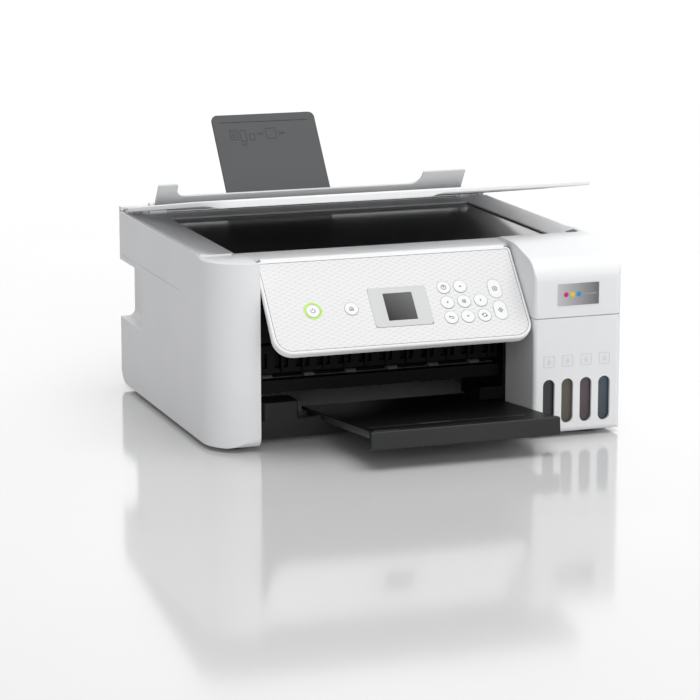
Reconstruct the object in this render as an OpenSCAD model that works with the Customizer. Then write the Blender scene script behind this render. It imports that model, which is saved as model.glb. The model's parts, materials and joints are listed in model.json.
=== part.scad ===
// Ink-tank all-in-one printer: flatbed scanner with lid, tilting control panel, rear paper feed,
// output tray and a front tank tower. Millimetres, +Z up, front towards -Y, origin on the floor
// under the middle of the body.

/* [Body] */
// Width over the side walls
body_w = 375; // [345:1:460]
// Depth from the front of the tank tower to the rear wall
body_d = 347; // [335:1:430]
// Height of the casing's rim above the floor
body_h = 172; // [165:1:210]
// Wall of the white casings
wall = 2.6; // [2:0.1:3.5]
// Height of the feet below the casing
foot_h = 4; // [3:0.5:7]
// Gap between two casings that meet at a seam
seam = 0.4; // [0.3:0.05:0.8]
// Radius of the casing's front left corner
pillar_r = 38; // [20:1:39]

/* [Front] */
// Width of the pillar at the left
pillar_w = 43; // [42:1:60]
// Width of the tank tower at the right
tower_w = 86.4; // [84:0.2:110]
// How far the pillar's front lies behind the tower's front
pillar_back = 36; // [20:1:50]
// How far the mechanism's front lies behind the tower's front
recess_back = 66; // [60:1:75]
// Height of the seam across the tower
tower_seam_z = 110; // [100:1:116]

/* [Control panel] */
// Lean of the panel back from the vertical, in degrees
panel_lean = 40.8; // [30:0.2:50]
// Length of the panel's face down its slope
panel_h = 89; // [84:0.5:95]
// White band around the panel's face
panel_band = 3; // [2.5:0.1:5]
// Radius of a round button
button_r = 6.2; // [4.5:0.1:6.8]
// Travel of a button
button_travel = 0.8; // [0.5:0.1:1.2]

/* [Scanner and lid] */
// Length of the glass opening along X
glass_w = 306; // [280:1:306]
// Length of the glass opening along Y
glass_d = 208.5; // [190:0.5:216]
// Thickness of the glass
glass_t = 3; // [2:0.1:3]
// Thickness of the lid
lid_t = 4.5; // [4:0.1:6]
// How far the lid stands open, in degrees
lid_open = 9.8; // [0:0.2:20]
// Radius of the hinge knuckles
knuckle_r = 4.6; // [4:0.1:5]
// Radius of the hinge pins
pin_r = 1.5; // [1.2:0.1:1.8]

/* [Paper feed and tray] */
// Lean of the paper support back from the vertical, in degrees
feed_lean = 37; // [30:0.5:40]
// Width of the paper support
support_w = 107; // [90:1:140]
// Length of the paper support above the rim
support_h = 91; // [60:1:110]
// Lean of the feeder guard towards the front, in degrees
guard_lean = 35; // [20:1:40]
// Height of the feeder guard's ears
guard_h = 27; // [18:0.5:28]
// Height of the feeder guard between its ears
guard_strip_h = 11.5; // [8:0.5:16]
// Slope of the output tray up towards the front, in degrees
tray_slope = 5.4; // [3:0.1:7]
// Length of the output tray
tray_l = 190; // [170:1:200]
// Width of the output tray's front lip
tray_w = 176.4; // [150:0.2:176.4]
// Height of the output tray's front lip
tray_lip_h = 16; // [12:0.5:20]

/* [Ink tanks] */
// Distance from one ink tank to the next
tank_pitch = 18.1; // [17:0.1:20]
// Width of a tank window
window_w = 11.5; // [8:0.1:13]
// Lowest point of the tank windows
window_z0 = 13; // [11:0.5:20]
// Highest point of the tank windows
window_z1 = 54; // [40:0.5:70]

/* [Hidden] */
$fn = 64;

fit = 0.3;             // running gap between pieces that move past each other
eps = 0.01;
far = 400;             // reach of a cut that must pass right through
x_l = -body_w / 2;
x_r = body_w / 2;
y_f = -body_d / 2;
y_b = body_d / 2;
x_p = x_l + pillar_w;  // right face of the pillar
x_t = x_r - tower_w;   // left face of the tower
y_p = y_f + pillar_back;
y_m = y_f + recess_back;
y_t = y_m + 47.5;      // rear seam of the tower
floor_z = foot_h + wall - 0.4;
rear_corner_r = 3;
notch_l = 77;          // length of the notch at the rear left
guard_ear_l = 20;      // width of the guard's left and right ears
guard_ear_r = 45;
tower_left_r = 4;
tower_right_r = 8;

// Deck, glass and hinge
deck_t = 3.3;
rim_h = 2.5;           // the deck lies this far below the casing's rim
deck_top = body_h - rim_h;
deck_rim = body_h - 0.2;
deck_under = deck_top - deck_t;
rim_w = 6;
deck_rear = y_b - 27.5;
skirt_z = body_h - 22;
glass_x0 = x_l + 41;
glass_x1 = glass_x0 + glass_w * (body_w - 69) / 306;
glass_y1 = y_b - 38.5;
glass_y0 = glass_y1 - glass_d * (body_d - 138.5) / 208.5;
glass_lap = 2;
hinge_y = y_b - 17;
hinge_z = body_h + 0.4;
base_z0 = skirt_z + 0.2;
base_y1 = glass_y1 - 4;

// Tower's round shoulder: an arc, a straight slope, and a crown that levels out
shoulder_r = 22;
shoulder_y = y_f + shoulder_r;
shoulder_z = body_h - 30;
crown_slope = 14.5;
crown_r = 60;
shoulder_end_y = shoulder_y - shoulder_r * sin(crown_slope);
shoulder_end_z = shoulder_z + shoulder_r * cos(crown_slope);
crown_z = body_h - crown_r * (1 - cos(crown_slope));
crown_y = shoulder_end_y + (crown_z - shoulder_end_z) / tan(crown_slope);

// Panel: the origin of its own frame is the middle of the face's top edge
panel_top_y = y_m - 10.5;
panel_top_z = body_h - 6.5;
panel_x0 = x_p + 4.5;
panel_x1 = x_t - 1 - panel_band;
panel_x = (panel_x0 + panel_x1) / 2;
panel_w = panel_x1 - panel_x0;
panel_depth = 12;
face_t = 2;
face_gap = 0.25;
face_r = 14;
hinge_in = 5;          // panel pivot behind the face
hinge_up = 2.5;        // and above its top edge
post_w = 5.4;
post_r = 2.4;
button_gap = 0.3;
key_pitch_x = 15.9;
key_pitch_y = 15.5;
key_row = 35.8;
power_x = x_p + 43.9;
home_x = x_p + 79.6;
pill_x = x_t - 27.1;
pad_x = x_t - 59.3;
lcd_x = x_t - 120.1;
lcd_w = 54.6;
lcd_h = 40;
lcd_row = 52;

// Paper path
feed_y = y_b - 3;      // front face of the paper support above the rim
feed_z = body_h + 8;
support_t = 3.2;
support_x = x_l + 163.2;
support_down = 58;
slot_x0 = x_l + 31;
slot_x1 = x_r - 26.5;
chute_x0 = x_p + 3.6;
chute_x1 = slot_x1 - 0.5;
hopper_down = 145;
paper_w = 217;
paper_z = foot_h + 54;
roller_r = 6;
feed_roll_y = y_m + 141.5;
feed_roll_z = paper_z - roller_r - 0.4;
pinch_r = 4.3;
eject_r = 5.2;
eject_y = y_m + 25.5;
eject_z = paper_z - 0.5 - eject_r;
pickup_r = 15;
pickup_down = 115;
pickup_out = 20.5;
guard_y = y_b - 16;
guard_z = body_h + 5;
guard_pin_r = 1.4;
guard_lug_r = 3.4;
guard_lug_w = 5;
lid_ear_w = 20.5;
lid_lip = rim_h + 0.1;
rim_rear_y = hinge_y + 7;
rim_rear_z = body_h + 4.5;

// Output tray: its own frame starts at the lip's top front edge
tray_y = y_f - 59;
tray_z = foot_h + 30.5;
tray_x1 = x_t - 0.7;
tray_x0 = tray_x1 - tray_w;
tray_t = 2.2;
tray_rail = 3;

// Mechanism
plate_t = 2.4;
frame_top = skirt_z - 4;
beam_z = foot_h + 88;
frame_x0 = x_p + 0.6;
frame_x1 = x_t - 0.3;
frame_x2 = x_r - 20;
rail_y = y_m + 121.5;
rail_t = 2.5;
belt_y = rail_y + 7;
belt_w = 5;
belt_z = foot_h + 92;
belt_r = 8;
belt_t = 1.2;
belt_x0 = frame_x0 + 18;
belt_x1 = frame_x2 - 20;
carriage_w = 62;
carriage_x = frame_x2 - carriage_w - 4;
shaft_r = 3;
motor_shaft_r = 2;

// Tanks
tank_x = x_t + 14.6;
tank_w = tank_pitch - 0.8;
tank_top = foot_h + 84;
neck_h = 8;
neck_r = 6;
cap_r = 7.4;
cap_t = 6;
cap_hinge = 11;

// ---- helpers ----
module along_x(x0, x1) {
  translate([x0, 0, 0]) rotate([90, 0, 90]) linear_extrude(x1 - x0) children();
}
module slab(z0, z1) {
  translate([0, 0, z0]) linear_extrude(z1 - z0) children();
}
module box(x, y, z) {
  translate([x[0], y[0], z[0]]) cube([x[1] - x[0], y[1] - y[0], z[1] - z[0]]);
}
module rod_x(x0, x1, y, z, r) {
  translate([x0, y, z]) rotate([0, 90, 0]) cylinder(r = r, h = x1 - x0);
}
// Rectangle with a radius for each corner: front left, front right, rear right, rear left
module round_rect(x, y, r) {
  polygon([[x[0] + r[0], y[0]], [x[1] - r[1], y[0]], [x[1], y[0] + r[1]], [x[1], y[1] - r[2]],
           [x[1] - r[2], y[1]], [x[0] + r[3], y[1]], [x[0], y[1] - r[3]], [x[0], y[0] + r[0]]]);
  if (r[0] > 0) translate([x[0] + r[0], y[0] + r[0]]) circle(r[0]);
  if (r[1] > 0) translate([x[1] - r[1], y[0] + r[1]]) circle(r[1]);
  if (r[2] > 0) translate([x[1] - r[2], y[1] - r[2]]) circle(r[2]);
  if (r[3] > 0) translate([x[0] + r[3], y[1] - r[3]]) circle(r[3]);
}
module in_panel() {
  translate([panel_x, panel_top_y, panel_top_z]) rotate([90 - panel_lean, 0, 0]) children();
}
module in_feed() {
  translate([0, feed_y, feed_z]) rotate([-feed_lean, 0, 0]) children();
}
module in_tray() {
  translate([0, tray_y, tray_z]) rotate([-tray_slope, 0, 0]) children();
}
module in_lid() {
  translate([0, hinge_y, hinge_z]) rotate([-lid_open, 0, 0]) children();
}

// ---- white casings ----
module body_block(i) {
  r = [pillar_r - i, tower_right_r, rear_corner_r - i, rear_corner_r - i];
  intersection() {
    slab(foot_h, rim_rear_z - i) round_rect([x_l + i, x_r - i], [y_p + i, y_b - i], r);
    along_x(x_l - 1, x_r + 1)
      round_rect([y_p + i, y_b - i], [foot_h + i, far], [10 - i, 20 - i, 0, 0]);
  }
}
module notch(i) {
  slab_y(y_b - notch_l - i, y_b + 30)
    round_rect([x_l - 20, x_l + 15 + i], [foot_h + 64 - i, body_h - 47 + i], [0, 7 + i, 7 + i, 0]);
}
module side_panel_window(i) {
  box([x_l - 1, x_l + wall + 1], [y_f + 140 + i, y_b - rear_corner_r - i],
      [body_h - 42 + i, body_h + 1]);
}
module housing_shell() {
  difference() {
    difference() {
      body_block(0);
      notch(0);
      box([x_l - 1, x_r + 1], [y_p - 1, rim_rear_y], [body_h, far]);
    }
    difference() {
      body_block(wall);
      notch(wall);
    }
  }
}
module lower_housing() {
  color("white") difference() {
    union() {
      housing_open();
      // lugs that hold the feeder guard's pins
      for (x = [slot_x0 - guard_lug_w, slot_x1]) {
        rod_x(x, x + guard_lug_w, guard_y, guard_z, guard_lug_r);
        box([x, x + guard_lug_w], [guard_y - guard_lug_r, y_b - wall + eps], [guard_z - 17, guard_z - 1]);
      }
      // knuckles of the lid's hinge
      for (x = [x_l + 17, x_r - 23.4]) {
        rod_x(x, x + 6.4, hinge_y, hinge_z, knuckle_r);
        box([x, x + 6.4], [hinge_y, y_b - wall + eps], [hinge_z - knuckle_r, hinge_z]);
      }
    }
    rod_x(x_l + 12, x_l + 24, hinge_y, hinge_z, pin_r + 0.05);
    rod_x(x_r - 24, x_r - 12, hinge_y, hinge_z, pin_r + 0.05);
    rod_x(slot_x0 - guard_lug_w - 1, slot_x0 + 1, guard_y, guard_z, guard_pin_r + 0.06);
    rod_x(slot_x1 - 1, slot_x1 + guard_lug_w + 1, guard_y, guard_z, guard_pin_r + 0.06);
  }
}
module housing_open() {
  difference() {
    union() {
      housing_shell();
      // right wall of the pillar
      box([x_p - wall, x_p], [y_p + 3, y_m], [floor_z + 4, deck_under - 1]);
    }
    box([x_p, far], [y_f - 1, y_m + 7], [0, far]);
    box([x_p - wall, x_p + eps], [y_m, y_m + 7], [0, far]);
    box([x_t - seam, far], [y_f - 1, y_t], [0, far]);
    box([x_r - 10, far], [y_t - 1, rim_rear_y], [skirt_z - seam, far]);
    // the rim drops to the deck's level round the front left corner
    along_x(x_l - 1, x_p + 1) polygon([[y_p - 1, deck_top], [y_p + pillar_r, deck_top],
      [y_p + pillar_r + 16, body_h + eps], [y_p + pillar_r + 16, body_h + 9], [y_p - 1, body_h + 9]]);
    side_panel_window(0);
    // rear feed slot, rear cover and sockets
    box([slot_x0, slot_x1], [hinge_y - 12, y_b - wall], [body_h - 30, far]);
    box([slot_x0 + 4, slot_x1 - 4], [y_b - wall - 1, y_b + 1], [body_h - 1, far]);
    rear_cover_plate(0, 1);
    for (s = sockets()) box([s[0] - 0.2, s[1] + 0.2], [y_b - 6, y_b + 1], [s[2] - 0.2, s[3] + 0.2]);
    for (p = feet_left()) translate([p[0], p[1], 0]) cylinder(r = 4, h = 20);
    for (p = screw_places()) translate([p[0], p[1], 0]) cylinder(r = 1.7, h = 20);
  }
}
module left_side_panel() {
  color("white") intersection() {
    housing_shell_plain();
    side_panel_window(0.2);
  }
}
module housing_shell_plain() {
  difference() {
    body_block(0);
    body_block(wall);
    box([x_l - 1, x_r + 1], [y_p - 1, rim_rear_y + 20], [body_h, far]);
  }
}
module rear_cover_plate(i, extra) {
  box([x_l + 90 + i, x_r - 90 - i], [y_b - wall - extra, y_b + extra],
      [foot_h + 26 + i, body_h - 36 - i]);
}
module rear_cover() {
  color("white") difference() {
    rear_cover_plate(seam, 0);
    for (k = [0:7]) box([x_l + 120, x_r - 120], [y_b - wall - 1, y_b + 1],
                        [foot_h + 34 + 7 * k, foot_h + 37 + 7 * k]);
  }
}
module tower_block(i, z0, z1) {
  intersection() {
    slab(z0, z1) round_rect([x_t + i, x_r - i], [y_f + i, y_t],
                            [tower_left_r - min(i, 2), tower_right_r - i, 0, 0]);
    along_x(x_t - 1, x_r + 1) tower_profile(i);
  }
}
module tower_profile(i) {
  crown = [for (a = [crown_slope:-1:0])
    [crown_y + crown_r * (sin(crown_slope) - sin(a)), crown_z + crown_r * (cos(a) - cos(crown_slope)) - i]];
  difference() {
    union() {
      translate([shoulder_y, shoulder_z]) circle(shoulder_r - i, $fn = 128);
      translate([y_f + i, foot_h + i]) square([y_t - y_f + 20, shoulder_z - foot_h - i]);
      polygon(concat([[shoulder_y, shoulder_z - 1],
                      [shoulder_end_y + i * sin(crown_slope), shoulder_end_z - i * cos(crown_slope)]],
                     crown, [[y_t + 20, body_h - i], [y_t + 20, shoulder_z - 1]]));
    }
    difference() {
      translate([y_f - 1, foot_h - 1]) square([7, 7]);
      translate([y_f + 6, foot_h + 6]) circle(6 - i);
    }
  }
}
module window_cut(x) {
  r = window_w / 2;
  for (z = [window_z0 + r, window_z1 - r])
    translate([x, y_f - 1, z]) rotate([-90, 0, 0]) cylinder(r = r, h = wall + 4);
  box([x - r, x + r], [y_f - 1, y_f + wall + 3], [window_z0 + r, window_z1 - r]);
}
module tower_cover() {
  color("white") difference() {
    tower_block(0, foot_h, tower_seam_z - seam / 2);
    difference() {
      tower_block(wall, foot_h + wall, far);
      box([0, far], [y_f, y_t], [tower_seam_z - 12, tower_seam_z - 10]);
    }
    box([x_t + wall, x_r - wall], [y_f + wall + 3, far], [floor_z + 10, far]);
    box([x_t - 1, x_r - wall], [y_m, far], [floor_z, far]);
    box([x_t - 1, x_t + 1], [y_m, far], [0, far]);
    for (k = [0:3]) window_cut(tank_x + k * tank_pitch);
    for (p = feet_right()) translate([p[0], p[1], 0]) cylinder(r = 4, h = 20);
  }
}

// ---- base, feet and fasteners ----
function feet_left() = [[x_l + 26, y_p + 30], [x_l + 30, y_b - 45], [x_r - 30, y_b - 45]];
function feet_right() = [[x_r - 25, y_f + 24]];
function screw_places() = [[x_l + 60, y_b - 30], [x_r - 40, y_b - 70], [x_l + 20, y_p + 60]];
module rubber_feet() {
  color("dimgray") for (p = concat(feet_left(), feet_right())) {
    translate([p[0], p[1], 0]) cylinder(r = 9, h = foot_h - 0.05);
    translate([p[0], p[1], 0]) cylinder(r = 3.8, h = foot_h + 2);
  }
}
module case_screws() {
  color("silver") for (p = screw_places()) {
    translate([p[0], p[1], foot_h + 0.4]) cylinder(r = 1.5, h = 4);
    difference() {
      translate([p[0], p[1], foot_h + wall + 0.05]) cylinder(r = 3.2, h = 2.2);
      translate([p[0], p[1], foot_h + wall + 1.6]) cylinder(r = 1.6, h = 2, $fn = 6);
    }
  }
}
module base_pan() {
  beam_x0 = frame_x0 + plate_t + 0.1;
  // top of the front beam, just under the tray's rails
  z1 = tray_z - (y_m + 6.5 - tray_y) * tan(tray_slope) - tray_rail / cos(tray_slope) - 0.4;
  color([0.08, 0.08, 0.09]) {
    box([beam_x0, x_t - 0.4], [y_m, y_m + 6.5], [foot_h + 0.6, z1]);
    box([beam_x0, tray_x0 - 2], [y_m, y_m + 6.5], [z1 - eps, foot_h + 17]);
    // side block that keeps the tray's left edge clear of the pillar
    slab(foot_h + 17 - eps, foot_h + 33)
      round_rect([x_p + 10, x_p + 45], [y_m, y_m + 27], [6, 2, 2, 2]);
    box([x_p + 10, x_p + 45], [y_m + 6, y_m + 27], [floor_z + 0.6, foot_h + 17]);
    // runner along the tray's left rail
    box([tray_x0 - 10, tray_x0 - 0.6], [y_m + 6, y_m + 130], [floor_z + 0.6, floor_z + 5]);
    box([x_p + 12, tray_x0 - 0.6], [y_m + 20, y_m + 27], [floor_z + 0.6, floor_z + 5]);
  }
}

// ---- frame and electrics ----
module frame_plan() {
  square_at([frame_x0, frame_x0 + plate_t], [y_m, y_b - 38]);
  square_at([frame_x1 - plate_t, frame_x1], [y_m, y_t + plate_t + 0.4]);
  square_at([frame_x1 - plate_t, frame_x2 + plate_t], [y_t + 0.4, y_t + plate_t + 0.4]);
  square_at([frame_x2, frame_x2 + plate_t], [y_t + 0.4, y_b - 38]);
  square_at([frame_x0, frame_x2 + plate_t], [y_b - 38 - plate_t, y_b - 38]);
}
module square_at(x, y) {
  translate([x[0], y[0]]) square([x[1] - x[0], y[1] - y[0]]);
}
module inner_frame() {
  pivot_y = panel_top_y + hinge_up * sin(panel_lean) + hinge_in * cos(panel_lean);
  pivot_z = panel_top_z + hinge_up * cos(panel_lean) - hinge_in * sin(panel_lean);
  color([0.1, 0.1, 0.11]) difference() {
    union() {
      slab(floor_z + 0.6, frame_top) frame_plan();
      box([frame_x0, frame_x1], [y_m, y_m + plate_t], [beam_z, frame_top]);
      // posts that carry the control panel's pivots
      for (x = [[panel_x0 - panel_band, panel_x0 - panel_band + post_w - fit],
                [panel_x1 + panel_band - post_w + fit, panel_x1 + panel_band]]) {
        rod_x(x[0], x[1], pivot_y, pivot_z, post_r);
        box(x, [pivot_y - post_r + 0.4, y_m + plate_t], [frame_top - 20, frame_top]);
        box(x, [pivot_y - post_r + 0.4, pivot_y + post_r], [frame_top - 20, pivot_z]);
      }
      // chamfered guide above the tray's right edge
      box([frame_x1 - 25, frame_x1], [y_m, y_m + 20], [foot_h + 20, foot_h + 32]);
    }
    // rear bay for the chute, paper way, tray way and shaft bearings
    box([frame_x0 + plate_t, frame_x2], [y_b - 45, far], [foot_h + 50, far]);
    box([frame_x0 + plate_t, frame_x1 - plate_t - 20], [y_m - 1, y_m + 1], [0, 20]);
    box([frame_x1 - plate_t - 1, frame_x1 + 1], [y_m - 1, y_t + 4], [0, foot_h + 20]);
    rod_x(frame_x0 - 1, frame_x0 + 5, feed_roll_y, feed_roll_z, shaft_r + 0.06);
    rod_x(frame_x2 - 1, frame_x2 + 5, feed_roll_y, feed_roll_z, shaft_r + 0.06);
    rod_x(frame_x0 - 1, frame_x0 + 5, eject_y, eject_z, 2.5 + 0.06);
    rod_x(frame_x1 - 5, frame_x1 + 5, eject_y, eject_z, 2.5 + 0.06);
    rod_x(frame_x0 - 1, frame_x0 + 5, pinch_y(), pinch_z(), 1.5 + 0.06);
    rod_x(frame_x2 - 1, frame_x2 + 5, pinch_y(), pinch_z(), 1.5 + 0.06);
    rod_x(frame_x0 - 1, frame_x0 + 5, pickup_y(), pickup_z(), shaft_r + 0.06);
    rod_x(frame_x2 - 1, frame_x2 + 5, pickup_y(), pickup_z(), shaft_r + 0.06);
  }
}
module power_supply() {
  color("gray") box([x_l + 130, x_l + 250], [y_b - 78, y_b - 44], [floor_z + 0.4, foot_h + 44]);
}
function sockets() = [[x_l + 22, x_l + 43, foot_h + 38, foot_h + 54],
                      [x_l + 60, x_l + 73, foot_h + 40, foot_h + 52]];
module rear_sockets() {
  inlet = sockets()[0];
  usb = sockets()[1];
  color("black") difference() {
    box([inlet[0], inlet[1]], [y_b - 18, y_b - 0.3], [inlet[2], inlet[3]]);
    box([inlet[0] + 2.8, inlet[1] - 2.8], [y_b - 12, y_b + 1], [inlet[2] + 4, inlet[3] - 4]);
  }
  color("silver") for (s = [-1, 1])
    rod_y((inlet[0] + inlet[1]) / 2 + s * 4.3, y_b - 12.1, y_b - 2, (inlet[2] + inlet[3]) / 2, 1.2);
  color("silver") difference() {
    box([usb[0], usb[1]], [y_b - 16, y_b - 0.3], [usb[2], usb[3]]);
    box([usb[0] + 1.5, usb[1] - 1.5], [y_b - 10, y_b + 1], [usb[2] + 1.5, usb[3] - 1.5]);
  }
}
module slab_y(y0, y1) {
  translate([0, y1, 0]) rotate([90, 0, 0]) linear_extrude(y1 - y0) children();
}
module main_board() {
  color("darkgreen") {
    box([x_l + 8, x_l + 9.6], [y_f + 90, y_f + 225], [foot_h + 30, foot_h + 110]);
    for (y = [y_f + 100, y_f + 215]) for (z = [foot_h + 38, foot_h + 102])
      rod_x(x_l + wall, x_l + 8, y, z, 3);
    box([x_l + 9.6, x_l + 15], [y_f + 130, y_f + 160], [foot_h + 55, foot_h + 85]);
    box([x_l + 9.6, x_l + 20], [y_f + 185, y_f + 200], [foot_h + 50, foot_h + 90]);
  }
}
module drive_motors() {
  color("silver") {
    difference() {
      rod_y(belt_x0, belt_y + belt_w + 3, belt_y + belt_w + 33, belt_z, 14);
      rod_y(belt_x0, belt_y + belt_w + 2, belt_y + belt_w + 9, belt_z, motor_shaft_r + 0.06);
    }
    rod_x(frame_x0 - 22, frame_x0 - 0.3, feed_roll_y + 40, feed_roll_z + 10, 15);
  }
}

// ---- print mechanism ----
module carriage_rail() {
  color("silver") {
    box([frame_x0 + plate_t, frame_x2], [rail_y, rail_y + rail_t], [paper_z + 6, paper_z + 56]);
    // bracket under the carriage motor, and the idler pulley's pin
    box([belt_x0 - 2, belt_x0 + 2], [rail_y + rail_t - eps, belt_y + belt_w + 10],
        [belt_z - 22, belt_z - 14.3]);
    rod_y(belt_x1, rail_y + rail_t - eps, belt_y + belt_w + 3, belt_z, motor_shaft_r);
  }
}
module belt_outline(r) {
  square_at([belt_x0, belt_x1], [-r, r]);
  translate([belt_x0, 0]) circle(r);
  translate([belt_x1, 0]) circle(r);
}
module timing_belt() {
  color("black") translate([0, 0, belt_z]) slab_y(belt_y, belt_y + belt_w) difference() {
    belt_outline(belt_r);
    belt_outline(belt_r - belt_t);
  }
}
// Rod along Y, from y0 to y1
module rod_y(x, y0, y1, z, r) {
  translate([x, y0, z]) rotate([-90, 0, 0]) cylinder(r = r, h = y1 - y0);
}
module pulley(x) {
  rod_y(x, belt_y - 1.2, belt_y + belt_w + 1.2, belt_z, belt_r - belt_t - 0.1);
  rod_y(x, belt_y - 1.8, belt_y - 0.6, belt_z, belt_r + 0.6);
  rod_y(x, belt_y + belt_w + 0.6, belt_y + belt_w + 1.8, belt_z, belt_r + 0.6);
}
module drive_pulley() {
  color("gold") {
    pulley(belt_x0);
    rod_y(belt_x0, belt_y - 1.5, belt_y + belt_w + 8, belt_z, motor_shaft_r);
  }
}
module idler_pulley() {
  color("white") difference() {
    pulley(belt_x1);
    rod_y(belt_x1, belt_y - 5, belt_y + belt_w + 5, belt_z, motor_shaft_r + 0.06);
  }
}
module print_carriage() {
  x0 = carriage_x;
  x1 = carriage_x + carriage_w;
  y0 = rail_y - 62;
  z0 = paper_z + 2;
  color([0.15, 0.15, 0.16]) {
    difference() {
      box([x0, x1], [y0, rail_y - fit], [z0, z0 + 44]);
      box([x0 + 3, x1 - 3], [y0 + 3, rail_y - 8], [z0 + 30, z0 + 60]);
    }
    box([x0 + 4, x1 - 4], [rail_y - 14, rail_y - fit], [z0 + 43, z0 + 58]);
    box([x0 + 4, x1 - 4], [rail_y - 14, rail_y + rail_t + 3.4], [paper_z + 56.4, paper_z + 60]);
    box([x0 + 4, x1 - 4], [rail_y + rail_t + fit, rail_y + rail_t + 3.4],
        [paper_z + 50, paper_z + 60]);
    box([x0 + 14, x1 - 14], [y0 + 12, y0 + 44], [paper_z + 1.4, z0 + eps]);
  }
}
module platen() {
  color([0.09, 0.09, 0.1]) difference() {
    union() {
      box([frame_x0 + plate_t + 0.2, frame_x1 - plate_t - 0.2], [y_m + 9, feed_roll_y - 9],
          [paper_z - 14, paper_z - 2.5]);
      for (k = [0:16])
        box([frame_x0 + 20 + k * (frame_x1 - frame_x0 - 40) / 16 - 0.8,
             frame_x0 + 20 + k * (frame_x1 - frame_x0 - 40) / 16 + 0.8],
            [eject_y + 12, feed_roll_y - 12], [paper_z - 3, paper_z - 1]);
    }
    box([frame_x0, frame_x1], [eject_y - 7, eject_y + 7], [eject_z - 7, far]);
  }
}
module star_wheel_holder() {
  x0 = frame_x0 + plate_t + 0.2;
  x1 = frame_x1 - plate_t - 0.2;
  z0 = paper_z + 3;
  color([0.09, 0.09, 0.1]) {
    difference() {
      box([x0, x1], [y_m + 12, y_m + 34], [z0, z0 + 26]);
      for (k = [0:11]) {
        x = x0 + 10 + k * (x1 - x0 - 20) / 11;
        box([x - 6, x + 6], [y_m + 11, y_m + 17], [z0 + 5, z0 + 18 + 3 * (k % 2)]);
      }
    }
    for (k = [0:11]) {
      x = x0 + 10 + k * (x1 - x0 - 20) / 11;
      box([x - 1.2, x + 1.2], [y_m + 9, y_m + 20], [z0 + 1, z0 + 22]);
    }
  }
}
module capping_station() {
  color([0.2, 0.2, 0.21]) {
    difference() {
      box([carriage_x + 2, carriage_x + carriage_w - 4], [rail_y - 60, rail_y - 6],
          [floor_z + 0.4, paper_z - 4]);
      box([carriage_x + 6, carriage_x + 44], [rail_y - 50, rail_y - 16], [paper_z - 8, paper_z]);
    }
    difference() {
      box([carriage_x + 8, carriage_x + 42], [rail_y - 48, rail_y - 18], [paper_z - 8.1, paper_z - 1]);
      box([carriage_x + 10, carriage_x + 40], [rail_y - 46, rail_y - 20], [paper_z - 5, paper_z]);
    }
  }
}
function pinch_y() = feed_roll_y + 0.5;
function pinch_z() = feed_roll_z + roller_r + pinch_r + 0.3;
function pickup_y() = feed_y - pickup_down * sin(feed_lean) - pickup_out * cos(feed_lean);
function pickup_z() = feed_z - pickup_down * cos(feed_lean) + pickup_out * sin(feed_lean);
module feed_roller() {
  color("gray") {
    rod_x(frame_x0 - 8, frame_x2 + plate_t + 1, feed_roll_y, feed_roll_z, shaft_r);
    rod_x(frame_x0 + 8, frame_x2 - 30, feed_roll_y, feed_roll_z, roller_r);
    rod_x(frame_x0 - 6, frame_x0 - 1, feed_roll_y, feed_roll_z, 18);
  }
}
module eject_roller() {
  x0 = frame_x0 + 22;
  pitch = (frame_x1 - frame_x0 - 44) / 5;
  color("gray") {
    rod_x(frame_x0 - 3, frame_x1 + 0.1, eject_y, eject_z, 2.5);
    for (k = [0:5]) rod_x(x0 + k * pitch - 5, x0 + k * pitch + 5, eject_y, eject_z, eject_r);
  }
}
module pinch_rollers() {
  pitch = (frame_x1 - frame_x0 - 60) / 3;
  color("gray") {
    rod_x(frame_x0 - 1, frame_x2 + plate_t + 1, pinch_y(), pinch_z(), 1.5);
    for (k = [0:3])
      rod_x(frame_x0 + 20 + k * pitch, frame_x0 + 40 + k * pitch, pinch_y(), pinch_z(), pinch_r);
  }
}
module pickup_roller() {
  color("gray") {
    rod_x(frame_x0 - 1, frame_x2 + plate_t + 1, pickup_y(), pickup_z(), shaft_r);
    rod_x(support_x - 16, support_x + 16, pickup_y(), pickup_z(), pickup_r);
  }
}

// ---- ink tanks ----
module ink_tanks() {
  colors = [[0.15, 0.15, 0.16], [0.55, 0.5, 0.3], [0.5, 0.3, 0.4], [0.2, 0.35, 0.5]];
  for (k = [0:3]) {
    x = tank_x + k * tank_pitch;
    color(colors[k]) difference() {
      union() {
        box([x - tank_w / 2, x + tank_w / 2], [y_f + wall + 1.7, y_t - 3], [foot_h + wall + 0.8, tank_top]);
        translate([x, y_f + 34, tank_top - eps]) cylinder(r = neck_r, h = neck_h);
        box([x - 3, x + 3], [y_f + 34 + cap_hinge - 2, y_f + 34 + cap_hinge + 6],
            [tank_top - eps, tank_top + neck_h - 2.2]);
      }
      translate([x, y_f + 34, tank_top - 4]) cylinder(r = neck_r - 2, h = 20);
    }
  }
}
module tank_cap(k) {
  x = tank_x + k * tank_pitch;
  z = tank_top + neck_h + fit;
  translate([x, y_f + 34, z]) cylinder(r = cap_r, h = cap_t);
  box([x - 2.6, x + 2.6], [y_f + 34, y_f + 34 + cap_hinge], [z, z + 2.4]);
  rod_x(x - 2.6, x + 2.6, y_f + 34 + cap_hinge, z + 1.2, 1.2);
}
module black_tank_cap() color([0.15, 0.15, 0.15]) tank_cap(0);
module yellow_tank_cap() color("gold") tank_cap(1);
module magenta_tank_cap() color("mediumvioletred") tank_cap(2);
module cyan_tank_cap() color("deepskyblue") tank_cap(3);

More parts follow.
